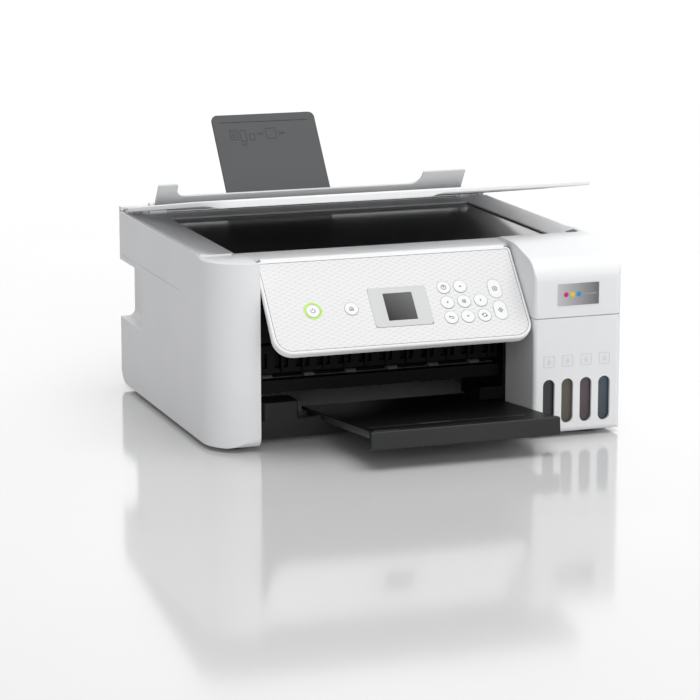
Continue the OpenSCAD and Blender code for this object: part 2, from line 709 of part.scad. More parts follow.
// ---- scanner unit ----
module deck_plan() {
  i = wall + seam;
  difference() {
    round_rect([x_l + i, x_r - wall], [y_p + i, deck_rear], [pillar_r - i, 0, 0, 0]);
    square_at([x_p - 0.2, far], [-far, deck_front()]);
  }
}
function deck_front() = panel_top_y + hinge_up * sin(panel_lean) + hinge_in * cos(panel_lean)
                        + hinge_in + 0.5;
module scanner_deck() {
  color("white") {
    difference() {
      union() {
        slab(deck_under, deck_top) deck_plan();
        // raised rims at the left, the right and the rear
        slab(deck_top - 1, deck_rim) intersection() {
          deck_plan();
          union() {
            square_at([x_l, glass_x0 - 8], [y_p + pillar_r + 12, far]);
            square_at([glass_x1 + 8, x_r], [y_t - 1, far]);
            square_at([x_l, x_r], [glass_y1 + 2, far]);
          }
        }
        box([x_p + 2, x_t], [deck_front(), deck_front() + 2.4], [deck_under - 3.5, deck_under + eps]);
        box([x_r - wall, x_r], [y_t - 1, rim_rear_y - seam - 12], [skirt_z, deck_top]);
        difference() {
          tower_block(0, tower_seam_z + seam / 2, far);
          tower_block(wall, tower_seam_z, far);
          box([x_t - 1, x_r - wall], [y_m + 2, far], [0, deck_under]);
          box([x_r - 10, far], [y_t - 1, far], [0, skirt_z]);
        }
      }
      // glass opening, and the bezel that slopes down to it
      box([glass_x0, glass_x1], [glass_y0, glass_y1], [deck_under - 5, far]);
      hull() {
        box([glass_x0, glass_x1], [glass_y0, glass_y1], [deck_under + 1.6, deck_under + 1.7]);
        box([x_l + rim_w, x_r - rim_w], [y_p + pillar_r + 10, deck_rear - 3], [deck_rim, deck_rim + 1]);
      }
      hull() {
        box([glass_x0, glass_x1], [glass_y0, glass_y1], [deck_under + 1.6, deck_under + 1.7]);
        box([glass_x0 - 9, glass_x1], [glass_y0 - 6, glass_y1], [deck_top, deck_top + 1]);
      }
      // the front strip falls towards the control panel
      along_x(x_p - 0.2, x_t) polygon([[deck_front() - 1, deck_top - 2.3], [deck_front() + 24, deck_top],
                                       [deck_front() + 24, deck_top + 9], [deck_front() - 1, deck_top + 9]]);
    }
    for (x = [x_l + 10.4, x_r - 16.4]) {
      difference() {
        union() {
          rod_x(x, x + 6, hinge_y, hinge_z, knuckle_r);
          box([x, x + 6], [deck_rear - 4, hinge_y], [hinge_z - knuckle_r, deck_top]);
        }
        rod_x(x - 1, x + 8, hinge_y, hinge_z, pin_r + 0.05);
      }
    }
  }
}
module scanner_base() {
  x0 = x_l + wall + 4;
  x1 = x_r - wall - 4;
  y0 = deck_front() + 3;
  color([0.2, 0.2, 0.21]) difference() {
    box([x0, x1], [y0, base_y1], [base_z0, deck_under - glass_t - 0.1]);
    box([x0 + 2, x1 - 2], [y0 + 2, base_y1 - 2], [base_z0 + 2, far]);
  }
  color([0.2, 0.2, 0.21]) for (x = [x0, x1 - 6]) for (y = [y0, base_y1 - 20])
    box([x, x + 6], [y, y + 20], [deck_under - glass_t - 0.2, deck_under - 0.05]);
}
module scanner_glass() {
  color([0.1, 0.1, 0.12]) box([glass_x0 - glass_lap, glass_x1 + glass_lap],
    [glass_y0 - glass_lap, glass_y1 + glass_lap], [deck_under - glass_t, deck_under - 0.05]);
}
function cis_z() = base_z0 + 2;
module cis_rail() {
  color("silver") {
    rod_x(x_l + wall + 6.1, x_r - wall - 6.1, base_y1 - 60, cis_z() + 3.5, 2.2);
    for (x = [x_l + wall + 8, x_r - wall - 11])
      box([x, x + 3], [base_y1 - 64, base_y1 - 56], [cis_z() + 0.05, cis_z() + 3.5]);
  }
}
module cis_bar() {
  x0 = glass_x0 + 2;
  color([0.12, 0.12, 0.12]) difference() {
    union() {
      box([x0, x0 + 18], [deck_front() + 14, base_y1 - 6], [cis_z() + 4.5, cis_z() + 10]);
      box([x0 + 2, x0 + 16], [base_y1 - 68, base_y1 - 52], [cis_z() + 0.4, cis_z() + 5]);
    }
    rod_x(x0 - 1, x0 + 20, base_y1 - 60, cis_z() + 3.5, 2.2 + 0.08);
  }
}
module badge_plate() {
  color("silver") intersection() {
    difference() {
      badge_outline(-0.5);
      tower_block(-0.02, 0, far);
    }
    box([x_t + 22, x_t + 62.2], [y_f - 2, y_f + 20], [tower_seam_z + 11, tower_seam_z + 31]);
  }
}
module badge_outline(i) {
  along_x(x_t + 20, x_t + 65) tower_profile(i);
}
module lid_shell() {
  front = y_p + 27 - hinge_y;
  w = x_r - 0.5;
  color("white") in_lid() difference() {
    union() {
      difference() {
        union() {
          slab(0, lid_t) round_rect([-w, w], [front, deck_rear + 2 - hinge_y], [30, 12, 3, 3]);
          // ears that reach back to the hinge
          for (s = [[x_l + 0.5, x_l + lid_ear_w], [x_r - lid_ear_w, x_r - 0.5]])
            box(s, [deck_rear + 1 - hinge_y, 0.5], [0.5, lid_t]);
          // finger lip along the left of the front edge
          slab(-lid_lip, 0.1) round_rect([x_l + 12, x_l + 226], [front, front + 3.4], [3, 1, 1, 1]);
        }
        slab(-1, 1.4) round_rect([x_l + 6, x_r - 6], [front + 6, deck_rear - 4 - hinge_y], [20, 8, 2, 2]);
        // bevel that clears the feeder guard as the lid opens
        along_x(x_l + lid_ear_w + 0.5, x_r - lid_ear_w - 0.5)
          polygon([[-22, lid_t + eps], [-6, 1.9], [-6, lid_t + 5], [-22, lid_t + 5]]);
        for (x = [x_l + 9.9, x_r - 26]) box([x, x + 16.1], [-knuckle_r - 1, 10], [-5, lid_t + 1]);
      }
      for (x = [x_l + 3.2, x_r - 9.4]) rod_x(x, x + 6.2, 0, 0, knuckle_r);
    }
    rod_x(x_l - 1, x_l + 24, 0, 0, pin_r + 0.05);
    rod_x(x_r - 24, x_r + 1, 0, 0, pin_r + 0.05);
  }
}
module lid_mat() {
  front = y_p + 27 - hinge_y;
  color("white") in_lid() slab(-0.8, 1.35)
    round_rect([glass_x0 - 4, glass_x1 - 0.5], [front + 40, deck_rear - 10 - hinge_y], [3, 3, 3, 3]);
}
module hinge_pins() {
  color("silver") {
    rod_x(x_l + 3.4, x_l + 23.2, hinge_y, hinge_z, pin_r);
    rod_x(x_r - 23.2, x_r - 3.4, hinge_y, hinge_z, pin_r);
  }
}

// ---- control panel ----
module face_outline(i) {
  round_rect([-panel_w / 2 - i, panel_w / 2 + i], [-panel_h - i, i], [face_r + i, face_r + i, 1.5, 1.5]);
}
module panel_frame() {
  b = panel_band;
  half = panel_w / 2 + b;
  color("white") in_panel() difference() {
    union() {
      slab(-2.2, 0) intersection() {
        face_outline(b);
        square_at([-half, half], [-far, hinge_up]);
      }
      slab(-panel_depth, 0) intersection() {
        face_outline(b);
        square_at([-half + post_w, half - post_w], [-far, -6]);
      }
      intersection() {
        slab(-panel_depth + 4, 0) square_at([-half + post_w, half - post_w], [-12, hinge_up]);
        rod_x(-half, half, hinge_up - 8, -hinge_in, 20);
      }
      rod_x(-half + post_w, half - post_w, hinge_up, -hinge_in, hinge_in);
      for (s = [-1, 1]) intersection() {
        rod_x(-half, half, hinge_up, -hinge_in, hinge_in);
        slab(-2.2, 0) square_at([s > 0 ? half - post_w - 1 : -half, s > 0 ? half : -half + post_w + 1],
                                [hinge_up - 1, far]);
      }
    }
    slab(-face_t - 0.2, 1) face_outline(face_gap);
    slab(-panel_depth + 2.2, 1) round_rect([-panel_w / 2 + 4, panel_w / 2 - 4],
                                           [-panel_h + 4, -10], [10, 10, 2, 2]);
    rod_x(-half - 1, half + 1, hinge_up, -hinge_in, 1.2);
  }
}
function button_list() = [
  [power_x, 50.8, 0], [home_x, 51.2, 0],
  [pad_x - key_pitch_x, key_row, 0], [pad_x, key_row, 0],
  [pad_x - key_pitch_x, key_row + key_pitch_y, 0], [pad_x, key_row + key_pitch_y, 0],
  [pad_x + key_pitch_x, key_row + key_pitch_y, 0],
  [pad_x - key_pitch_x, key_row + 2 * key_pitch_y, 0], [pad_x, key_row + 2 * key_pitch_y, 0],
  [pad_x + key_pitch_x, key_row + 2 * key_pitch_y, 0],
  [pill_x, 40.3, 3.4], [pill_x, 62.6, 3.4]];
// Outline of a button: a circle, or a pill that is 2 * h longer
module button_outline(r, h) {
  translate([0, h]) circle(r);
  if (h > 0) {
    translate([0, -h]) circle(r);
    square_at([-r, r], [-h, h]);
  }
}
module panel_face() {
  color([0.94, 0.94, 0.94]) in_panel() difference() {
    slab(-face_t, 0) face_outline(0);
    for (b = button_list())
      translate([b[0] - panel_x, -b[1], 0]) slab(-5, 5) button_outline(button_r + button_gap, b[2]);
    slab(-5, 5) round_rect([lcd_x - lcd_w / 2 - panel_x, lcd_x + lcd_w / 2 - panel_x],
                           [-lcd_row - lcd_h / 2, -lcd_row + lcd_h / 2], [2, 2, 2, 2]);
  }
}
module lcd_module() {
  color("darkslategray") in_panel() {
    slab(-face_t, 0.2) round_rect([lcd_x - lcd_w / 2 - panel_x + 0.2, lcd_x + lcd_w / 2 - panel_x - 0.2],
      [-lcd_row - lcd_h / 2 + 0.2, -lcd_row + lcd_h / 2 - 0.2], [2, 2, 2, 2]);
    slab(-7, -face_t - 0.05) square_at([lcd_x - lcd_w / 2 - panel_x - 1, lcd_x + lcd_w / 2 - panel_x + 1],
      [-lcd_row - lcd_h / 2 + 3, -lcd_row + lcd_h / 2 - 3]);
    slab(-face_t - 0.2, -face_t + 0.2) square_at([lcd_x - 20 - panel_x, lcd_x + 20 - panel_x],
      [-lcd_row - 14, -lcd_row + 14]);
  }
}
module button(n) {
  b = button_list()[n];
  color("white") in_panel() translate([b[0] - panel_x, -b[1], 0]) {
    slab(-face_t, 0.35) button_outline(button_r, b[2]);
    slab(-panel_depth + 2.2 + button_travel + 0.2, -face_t + eps) square_at([-2, 2], [-2, 2]);
  }
}
module power_button() button(0);
module home_button() button(1);
module help_button() button(2);
module up_button() button(3);
module left_button() button(4);
module ok_button() button(5);
module right_button() button(6);
module back_button() button(7);
module down_button() button(8);
module switch_button() button(9);
module stop_button() button(10);
module start_button() button(11);

// ---- tray, paper support, guard and guides ----
stopper_x = [tray_x0 + 5, tray_x0 + 140];
stopper_y = [5, 25];
module output_tray() {
  color([0.13, 0.13, 0.14]) in_tray() difference() {
    union() {
      box([tray_x0 + 1, tray_x1 - 2.6], [2, tray_l], [-tray_t, 0]);
      box([tray_x0 + 1, tray_x0 + 3.2], [2, tray_l], [-tray_rail, 0]);
      box([tray_x1 - 4.8, tray_x1 - 2.6], [2, tray_l], [-tray_rail, 0]);
      box([tray_x0, tray_x1], [0, 2.6], [-tray_lip_h, 0]);
      // turned-back lower edge of the lip
      box([tray_x0, tray_x1], [0, 7], [-tray_lip_h, -tray_lip_h + 2]);
      box([tray_x0, tray_x1], [0, 7], [-tray_t, 0]);
    }
    box([stopper_x[0] - 0.3, stopper_x[1] + 0.3], [stopper_y[0] - 0.3, stopper_y[1] + 0.3], [-tray_t + 0.6, 1]);
    box([stopper_x[0] + 50, stopper_x[0] + 80], [stopper_y[1], stopper_y[1] + 6], [-tray_t + 0.8, 1]);
  }
}
module paper_stopper() {
  color([0.13, 0.13, 0.14]) in_tray() difference() {
    union() {
      box(stopper_x, [stopper_y[0] + 1, stopper_y[1]], [-tray_t + 0.8, 0.3]);
      rod_x(stopper_x[0], stopper_x[1], stopper_y[0] + 0.75, -0.6, 0.7);
    }
    box([stopper_x[0] + 50, stopper_x[0] + 80], [stopper_y[1] - 3, stopper_y[1] + 1], [-5, 5]);
  }
}
module paper_support() {
  r = 6;
  color("dimgray") in_feed() {
    slab_y(0, support_t) difference() {
      union() {
        round_rect([support_x - support_w / 2, support_x + support_w / 2], [-support_down, support_h],
                   [2, 2, r, r]);
      }
    }
    slab_y(-0.5, 0.1) square_at([support_x - support_w / 2 + 8, support_x + support_w / 2 - 8],
                                [support_h - 9, support_h - 8]);
  }
}
module paper_chute() {
  top = 11;
  color([0.12, 0.12, 0.13]) in_feed() {
    // wall behind the support
    slab_y(support_t + 0.5, support_t + 2.7)
      square_at([chute_x0, chute_x1], [-hopper_down, -top]);
    // hopper plate in front of the support
    slab_y(-3, -0.5 - fit) square_at([chute_x0, chute_x1], [-hopper_down, -30]);
    slab_y(-3, support_t + 2.7) square_at([chute_x0, support_x - support_w / 2 - fit], [-hopper_down, -30]);
    slab_y(-3, support_t + 2.7) square_at([support_x + support_w / 2 + fit, chute_x1], [-hopper_down, -30]);
    slab_y(-3, support_t + 2.7) square_at([chute_x0, chute_x1], [-hopper_down, -hopper_down + 3]);
  }
}
module edge_guide(x, s) {
  color("dimgray") in_feed() {
    slab_y(-8, -3 - fit) square_at([s > 0 ? x : x - 3, s > 0 ? x + 3 : x], [-62, -33]);
    slab_y(-5.2, -3 - fit) square_at([s > 0 ? x - 9 : x, s > 0 ? x : x + 9], [-56, -36]);
  }
}
module left_edge_guide() edge_guide(support_x - paper_w / 2 + 3, -1);
module right_edge_guide() edge_guide(support_x + paper_w / 2 - 3, 1);
module feeder_guard() {
  x0 = slot_x0 + 0.5;
  x1 = slot_x1 - 0.5;
  color("whitesmoke") translate([0, guard_y, guard_z]) rotate([guard_lean, 0, 0]) {
    slab_y(-1, 1) {
      square_at([x0, x1], [1, guard_strip_h]);
      round_rect([x0, x0 + guard_ear_l], [1, guard_h], [0, 0, 2, 2]);
      round_rect([x1 - guard_ear_r, x1], [1, guard_h], [0, 0, 2, 2]);
      // hollow curves that run from the strip up into the ears
      difference() {
        square_at([x0 + guard_ear_l - eps, x0 + guard_ear_l + 8.5], [guard_strip_h - eps, guard_strip_h + 8.5]);
        translate([x0 + guard_ear_l + 8.5, guard_strip_h + 8.5]) circle(8.5);
      }
      difference() {
        square_at([x1 - guard_ear_r - 11, x1 - guard_ear_r + eps], [guard_strip_h - eps, guard_strip_h + 11]);
        translate([x1 - guard_ear_r - 11, guard_strip_h + 11]) circle(11);
      }
    }
    rod_x(x0, x1, 0, 0, 2);
    rod_x(x0 - guard_lug_w + 0.5, x1 + guard_lug_w - 0.5, 0, 0, guard_pin_r);
  }
}

lower_housing();
tower_cover();
left_side_panel();
rear_cover();
base_pan();
rubber_feet();
inner_frame();
paper_chute();
power_supply();
rear_sockets();
main_board();
carriage_rail();
timing_belt();
drive_motors();
platen();
star_wheel_holder();
capping_station();
case_screws();
ink_tanks();
hinge_pins();
black_tank_cap();
yellow_tank_cap();
magenta_tank_cap();
cyan_tank_cap();
scanner_deck();
scanner_base();
scanner_glass();
cis_rail();
badge_plate();
cis_bar();
lid_shell();
lid_mat();
panel_frame();
panel_face();
lcd_module();
power_button();
home_button();
help_button();
up_button();
left_button();
ok_button();
right_button();
back_button();
down_button();
switch_button();
stop_button();
start_button();
output_tray();
paper_stopper();
paper_support();
feeder_guard();
left_edge_guide();
right_edge_guide();
print_carriage();
feed_roller();
eject_roller();
pinch_rollers();
pickup_roller();
drive_pulley();
idler_pulley();
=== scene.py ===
import json
import math

import bmesh
import bpy
from mathutils import Matrix, Vector
from mathutils.bvhtree import BVHTree


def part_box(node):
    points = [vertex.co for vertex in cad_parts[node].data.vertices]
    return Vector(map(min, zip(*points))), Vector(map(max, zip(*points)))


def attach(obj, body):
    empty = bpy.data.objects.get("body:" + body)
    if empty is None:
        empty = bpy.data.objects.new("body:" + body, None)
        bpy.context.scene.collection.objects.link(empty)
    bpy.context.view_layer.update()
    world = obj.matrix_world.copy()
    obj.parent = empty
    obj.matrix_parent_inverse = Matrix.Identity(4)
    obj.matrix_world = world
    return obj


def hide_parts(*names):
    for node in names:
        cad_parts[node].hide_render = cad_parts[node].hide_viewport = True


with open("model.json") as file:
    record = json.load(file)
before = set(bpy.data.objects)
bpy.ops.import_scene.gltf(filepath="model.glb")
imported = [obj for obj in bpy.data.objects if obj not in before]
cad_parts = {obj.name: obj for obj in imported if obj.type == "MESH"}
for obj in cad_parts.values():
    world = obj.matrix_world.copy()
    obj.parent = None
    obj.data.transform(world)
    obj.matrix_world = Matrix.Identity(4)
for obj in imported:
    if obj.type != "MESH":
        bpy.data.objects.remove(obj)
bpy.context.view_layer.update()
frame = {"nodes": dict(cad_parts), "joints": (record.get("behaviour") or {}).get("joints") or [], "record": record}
NODES = frame["nodes"]
BODY_OF = {node: body for body, nodes in frame["record"]["behaviour"]["bodies"].items() for node in nodes}
JOINTS = {joint["name"]: joint for joint in frame["joints"]}
SLOT_OF = {part["node"]: part["material_slot"] for part in frame["record"]["subparts"]}
MM = 0.001              # outlines and named sizes are in mm, and Blender's own values in metres


# ---------------------------------------------------------------- materials
WAVE_L, WAVE_ROW = 0.0088, 0.00165      # metres: a dash with its gap, and the step between rows


class Nodes:
    """A material's node tree, with short ways to add and link nodes."""

    def __init__(self, name):
        self.material = bpy.data.materials.new(name)
        self.material.use_nodes = True
        self.tree = self.material.node_tree
        self.shader = self.tree.nodes["Principled BSDF"]
        self.coords = self.tree.nodes.new("ShaderNodeTexCoord").outputs["Object"]

    def add(self, kind, inputs=None, **settings):
        node = self.tree.nodes.new("ShaderNode" + kind)
        for key, value in settings.items():
            setattr(node, key, value)
        for key, value in (inputs or {}).items():
            if isinstance(value, bpy.types.NodeSocket):
                self.tree.links.new(value, node.inputs[key])
            else:
                node.inputs[key].default_value = value
        return node

    def noise(self, scale, detail=3.0, stretch=None):
        vector = self.coords
        if stretch:
            vector = self.add("Mapping", {"Vector": vector, "Scale": stretch}).outputs["Vector"]
        return self.add("TexNoise", {"Vector": vector, "Scale": scale, "Detail": detail}).outputs["Fac"]

    def ramp(self, value, low, high, start=0.35, end=0.65):
        """Maps a 0..1 value to a colour between low and high."""
        node = self.add("ValToRGB", {"Fac": value})
        node.color_ramp.elements[0].position = start
        node.color_ramp.elements[0].color = (*low, 1)
        node.color_ramp.elements[1].position = end
        node.color_ramp.elements[1].color = (*high, 1)
        return node.outputs["Color"]

    def span(self, value, low, high):
        """Maps a 0..1 value to a number between low and high."""
        return self.add("MapRange", {"Value": value, "To Min": low, "To Max": high}).outputs["Result"]

    def bump(self, height, strength, distance):
        node = self.add("Bump", {"Height": height, "Strength": strength, "Distance": distance})
        self.tree.links.new(node.outputs["Normal"], self.shader.inputs["Normal"])

    def set(self, **values):
        for key, value in values.items():
            socket = self.shader.inputs[key.replace("_", " ")]
            if isinstance(value, bpy.types.NodeSocket):
                self.tree.links.new(value, socket)
            else:
                socket.default_value = value
        return self


def shade(color, factor):
    return tuple(min(1.0, c * factor) for c in color)


def moulded(name, color, rough=0.42, grain=2600.0, depth=0.00003, vary=0.02, gloss=0.4):
    """Injection-moulded plastic: faint cloudy colour, and a fine spark-eroded grain."""
    m = Nodes(name)
    m.shader.inputs["Specular IOR Level"].default_value = gloss
    cloud = m.noise(9.0, 4.0)
    fine = m.noise(grain, 2.0)
    m.set(Base_Color=m.ramp(cloud, shade(color, 1 - vary), shade(color, 1 + vary)),
          Roughness=m.span(fine, rough - 0.05, rough + 0.07))
    m.bump(fine, 0.35, depth)
    return m.material


def waved(name, color):
    """The panel's face: short shallow dashes in staggered rows, like a fine wave, with painted shade in the
    dashes.
    """
    m = Nodes(name)
    axes = m.add("SeparateXYZ", {"Vector": m.coords}).outputs
    drift = m.span(m.noise(140.0, 1.0), -1.6, 1.6)
    across = m.add("Math", {0: axes["X"], 1: 2 * math.pi / WAVE_L, 2: drift}, operation="MULTIPLY_ADD")
    sway = m.span(m.noise(60.0, 1.0), -0.8, 0.8)
    down = m.add("Math", {0: axes["Z"], 1: math.pi / WAVE_ROW, 2: sway}, operation="MULTIPLY_ADD")
    rows = m.add("Math", {0: down.outputs["Value"]}, operation="COSINE").outputs["Value"]
    dashes = m.add("Math", {0: across.outputs["Value"]}, operation="COSINE").outputs["Value"]
    height = m.add("Math", {0: rows, 1: dashes}, operation="MULTIPLY").outputs["Value"]
    relief = m.add("MapRange", {"Value": height, "From Min": -0.2, "From Max": 0.7}).outputs["Result"]
    # The dashes get up to 10% darker colour with their relief: painted shade of the relief, besides the real bump.
    m.set(Base_Color=m.ramp(relief, color, shade(color, 0.9), 0.0, 1.0), Roughness=m.span(relief, 0.42, 0.55))
    m.bump(relief, 0.25, 0.00006)
    return m.material


def metal(name, color, rough=0.3, stretch=(4.0, 220.0, 220.0)):
    """Rolled or turned metal with fine lines along one direction."""
    m = Nodes(name)
    lines = m.noise(40.0, 4.0, stretch)
    m.set(Base_Color=m.ramp(lines, shade(color, 0.86), shade(color, 1.1)), Metallic=1.0,
          Roughness=m.span(lines, rough - 0.08, rough + 0.1))
    m.bump(lines, 0.12, 0.00002)
    return m.material


def rubber(name, color, rough=0.62):
    m = Nodes(name)
    fine = m.noise(1400.0, 3.0)
    m.set(Base_Color=m.ramp(m.noise(25.0), shade(color, 0.9), shade(color, 1.15)),
          Roughness=m.span(fine, rough - 0.08, rough + 0.1))
    m.bump(fine, 0.4, 0.00005)
    return m.material


def glossy(name, low, high, rough=0.08, scale=6.0):
    """A glossy window or glass over something dark, with a slow change of tone."""
    m = Nodes(name)
    m.set(Base_Color=m.ramp(m.noise(scale, 1.0), low, high, 0.3, 0.7),
          Roughness=m.span(m.noise(60.0), rough, rough + 0.05))
    m.shader.inputs["Specular IOR Level"].default_value = 0.22
    return m.material


def inked(name, color, start_z, end_z):
    """A translucent tank wall with ink behind it: darker towards the bottom, with a soft sheen."""
    m = Nodes(name)
    height = m.add("SeparateXYZ", {"Vector": m.coords}).outputs["Z"]
    level = m.add("MapRange", {"Value": height, "From Min": start_z, "From Max": end_z}).outputs["Result"]
    cloud = m.noise(120.0, 3.0)
    mixed = m.add("Math", {0: level, 1: m.span(cloud, -0.12, 0.12)}, operation="ADD").outputs["Value"]
    m.set(Base_Color=m.ramp(mixed, shade(color, 0.72), shade(color, 1.2), 0.0, 1.0),
          Roughness=m.span(cloud, 0.28, 0.4))
    m.shader.inputs["Coat Weight"].default_value = 0.25
    return m.material


def lit(name, color, strength):
    """A light guide that glows, with a slightly uneven brightness."""
    m = Nodes(name)
    glow = m.ramp(m.noise(160.0), shade(color, 0.9), shade(color, 1.1))
    m.set(Base_Color=glow, Emission_Color=glow)
    m.shader.inputs["Emission Strength"].default_value = strength
    m.shader.inputs["Roughness"].default_value = 0.4
    return m.material


def graded(name, low, high, spans, metallic=0.0, rough=0.3, gloss=0.5):
    """A colour that runs from low to high along one or two axes, with fine lines in it. spans gives each
    axis its start and end."""
    m = Nodes(name)
    m.shader.inputs["Specular IOR Level"].default_value = gloss
    axes = m.add("SeparateXYZ", {"Vector": m.coords}).outputs
    share = None
    for axis, (start, end) in spans.items():
        part = m.add("MapRange", {"Value": axes[axis], "From Min": start, "From Max": end,
                                  "To Max": 1 / len(spans)}).outputs["Result"]
        if share is None:
            share = part
        else:
            share = m.add("Math", {0: share, 1: part}, operation="ADD").outputs["Value"]
    lines = m.noise(60.0, 3.0, (6.0, 90.0, 90.0))
    mixed = m.add("Math", {0: share, 1: m.span(lines, -0.04, 0.04)}, operation="ADD").outputs["Value"]
    m.set(Base_Color=m.ramp(mixed, low, high, 0.0, 1.0), Metallic=metallic,
          Roughness=m.span(lines, rough - 0.04, rough + 0.06))
    return m.material


badge_low, badge_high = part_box("badge_plate")
# Each material's function and what it takes after the name
LOOKS = {
    "white_abs": (moulded, (0.80, 0.805, 0.815), 0.46),
    "lid_white": (moulded, (0.80, 0.80, 0.805), 0.42),
    "panel_face_film": (waved, (0.71, 0.71, 0.715)),
    "key_plastic": (moulded, (0.77, 0.775, 0.78), 0.45, 3200.0),
    "guard_plastic": (moulded, (0.60, 0.61, 0.62), 0.45),
    "lid_mat_foam": (moulded, (0.66, 0.665, 0.67), 0.6, 900.0, 0.00008),
    "dark_gray_abs": (moulded, (0.060, 0.0615, 0.064), 0.5, 2400.0, 0.00004, 0.05),
    "tray_plastic": (moulded, (0.006, 0.006, 0.0062), 0.42, 2400.0, 0.00004, 0.08, 0.14),
    "tray_lip_plastic": (moulded, (0.030, 0.0305, 0.031), 0.45, 2400.0, 0.00004, 0.06, 0.25),
    "black_abs": (moulded, (0.0035, 0.0035, 0.0038), 0.45, 2000.0, 0.00004, 0.08, 0.12),
    "dark_block": (moulded, (0.014, 0.0145, 0.015), 0.4, 2000.0, 0.00004, 0.08, 0.3),
    "steel": (metal, (0.62, 0.63, 0.65)),
    "socket_plastic": (moulded, (0.02, 0.02, 0.02), 0.5),
    "circuit_board": (moulded, (0.03, 0.16, 0.07), 0.35, 500.0),
    "rubber_black": (rubber, (0.03, 0.03, 0.03)),
    "roller_rubber": (rubber, (0.12, 0.12, 0.125)),
    "brass_pulley": (metal, (0.72, 0.56, 0.28)),
    "pom_white": (moulded, (0.8, 0.8, 0.78), 0.3),
    "cap_black": (rubber, (0.03, 0.03, 0.03)),
    "cap_yellow": (rubber, (0.85, 0.62, 0.03)),
    "cap_magenta": (rubber, (0.62, 0.03, 0.22)),
    "cap_cyan": (rubber, (0.02, 0.32, 0.62)),
    "scan_glass": (glossy, (0.006, 0.006, 0.0065), (0.009, 0.009, 0.0095), 0.1),
    "badge_metal": (graded, (0.60, 0.60, 0.61), (0.17, 0.17, 0.175), {"X": (badge_low.x, badge_high.x)},
                    0.5, 0.36),
    "mark_white": (moulded, (0.70, 0.705, 0.715), 0.5, 1500.0),
    "rail_gray": (moulded, (0.05, 0.051, 0.053), 0.4, 2000.0, 0.00003, 0.05, 0.4),
    "print_gray": (moulded, (0.03, 0.031, 0.033), 0.6, 1500.0, 0.00003, 0.02, 0.2),
    # fine gray print, and also the painted shade in the gaps round the keys
    "print_fine": (moulded, (0.34, 0.345, 0.35), 0.5, 1500.0),
    "seam_shadow": (moulded, (0.07, 0.07, 0.073), 0.6, 1500.0),
    "pictogram": (moulded, (0.018, 0.0185, 0.019), 0.5, 1500.0),
    "power_glow": (lit, (0.40, 0.68, 0.07), 0.1),
    "display_surround": (moulded, (0.57, 0.575, 0.58), 0.45, 1500.0),
}
MATS = {name: make(name, *values) for name, (make, *values) in LOOKS.items()}


# ---------------------------------------------------------------- mesh tools
# Outlines are lists of points in mm. These turn an outline's own axes to the printer's.
UPRIGHT = Matrix(((1, 0, 0, 0), (0, 0, -1, 0), (0, 1, 0, 0), (0, 0, 0, 1)))   # (x, z), raised to the front
ALONG_X = Matrix(((0, 0, 1, 0), (1, 0, 0, 0), (0, 1, 0, 0), (0, 0, 0, 1)))    # (y, z), drawn out along x
ALONG_Y = Matrix(((1, 0, 0, 0), (0, 0, 1, 0), (0, 1, 0, 0), (0, 0, 0, 1)))    # (x, z), drawn out along y

SHARP_ANGLE = 32.0      # degrees: an edge that bends more is rounded
FLAT_ANGLE = 0.6        # degrees: faces that bend less are merged
WELD = 0.00002          # metres: points this near become one
ROOM = 0.42             # the share of a short neighbouring edge that a rounding may take
CHAMFER_L = 0.4         # mm: the length of a rod's chamfered end


def moved(x=0.0, y=0.0, z=0.0):
    return Matrix.Translation(Vector((x, y, z)) * MM)


def piece(name, mesh, material, body, replaces=()):
    """Makes one object from a mesh that is already in place, and ties it to its CAD body."""
    obj = bpy.data.objects.new(name, mesh)
    bpy.context.scene.collection.objects.link(obj)
    mesh.materials.clear()
    mesh.materials.append(MATS[material] if isinstance(material, str) else material)
    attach(obj, body)
    if replaces:
        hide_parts(*replaces)
    return obj


def smooth(obj):
    for face in obj.data.polygons:
        face.use_smooth = True
    obj.modifiers.new("normals", "WEIGHTED_NORMAL").weight = 60


def bevelled(obj, width, segments=3, clamp=True):
    """Rounds the weighted edges, and shades the object smoothly."""
    bevel = obj.modifiers.new("edges", "BEVEL")
    bevel.limit_method = "WEIGHT"
    bevel.width = width
    bevel.segments = segments
    bevel.use_clamp_overlap = clamp
    smooth(obj)


def round_edges(mesh, width):
    """Gives each sharp edge a bevel weight, held back where its neighbours are short. Returns the width
    that a weight of 1 stands for."""
    bm = bmesh.new()
    bm.from_mesh(mesh)
    bmesh.ops.remove_doubles(bm, verts=bm.verts, dist=WELD)
    bmesh.ops.dissolve_limit(bm, angle_limit=math.radians(FLAT_ANGLE), verts=bm.verts, edges=bm.edges)
    layer = bm.edges.layers.float.new("bevel_weight_edge")
    limit = math.radians(SHARP_ANGLE)
    sharp = {e for e in bm.edges if len(e.link_faces) == 2 and e.calc_face_angle(0) > limit}
    widths = {}
    for e in sharp:
        room = width
        for v in e.verts:
            away = (e.other_vert(v).co - v.co).normalized()
            for other in v.link_edges:
                along = (other.other_vert(v).co - v.co).normalized()
                runs_on = other in sharp and away.dot(along) < -0.7
                if other is not e and not runs_on:
                    room = min(room, other.calc_length() * ROOM)
        widths[e] = room
    widest = max(widths.values(), default=width)
    for e, room in widths.items():
        e[layer] = room / widest
    bm.to_mesh(mesh)
    bm.free()
    return widest


def refined(node, width=0.5, material=None, segments=3, clamp=False):
    """A copy of a CAD node with rounded edges and even shading, shown in its place."""
    mesh = NODES[node].data.copy()
    widest = round_edges(mesh, width * MM)
    obj = piece(node + "_finished", mesh, material or SLOT_OF[node], BODY_OF[node], (node,))
    bevelled(obj, widest, segments, clamp)


def circle(r, n=48, x=0.0, y=0.0):
    return [(x + r * math.cos(2 * math.pi * k / n), y + r * math.sin(2 * math.pi * k / n)) for k in range(n)]


def arc(r, start, end, n=20, x=0.0, y=0.0):
    """Points along an arc, angles in degrees."""
    turns = [math.radians(start + (end - start) * k / n) for k in range(n + 1)]
    return [(x + r * math.cos(t), y + r * math.sin(t)) for t in turns]


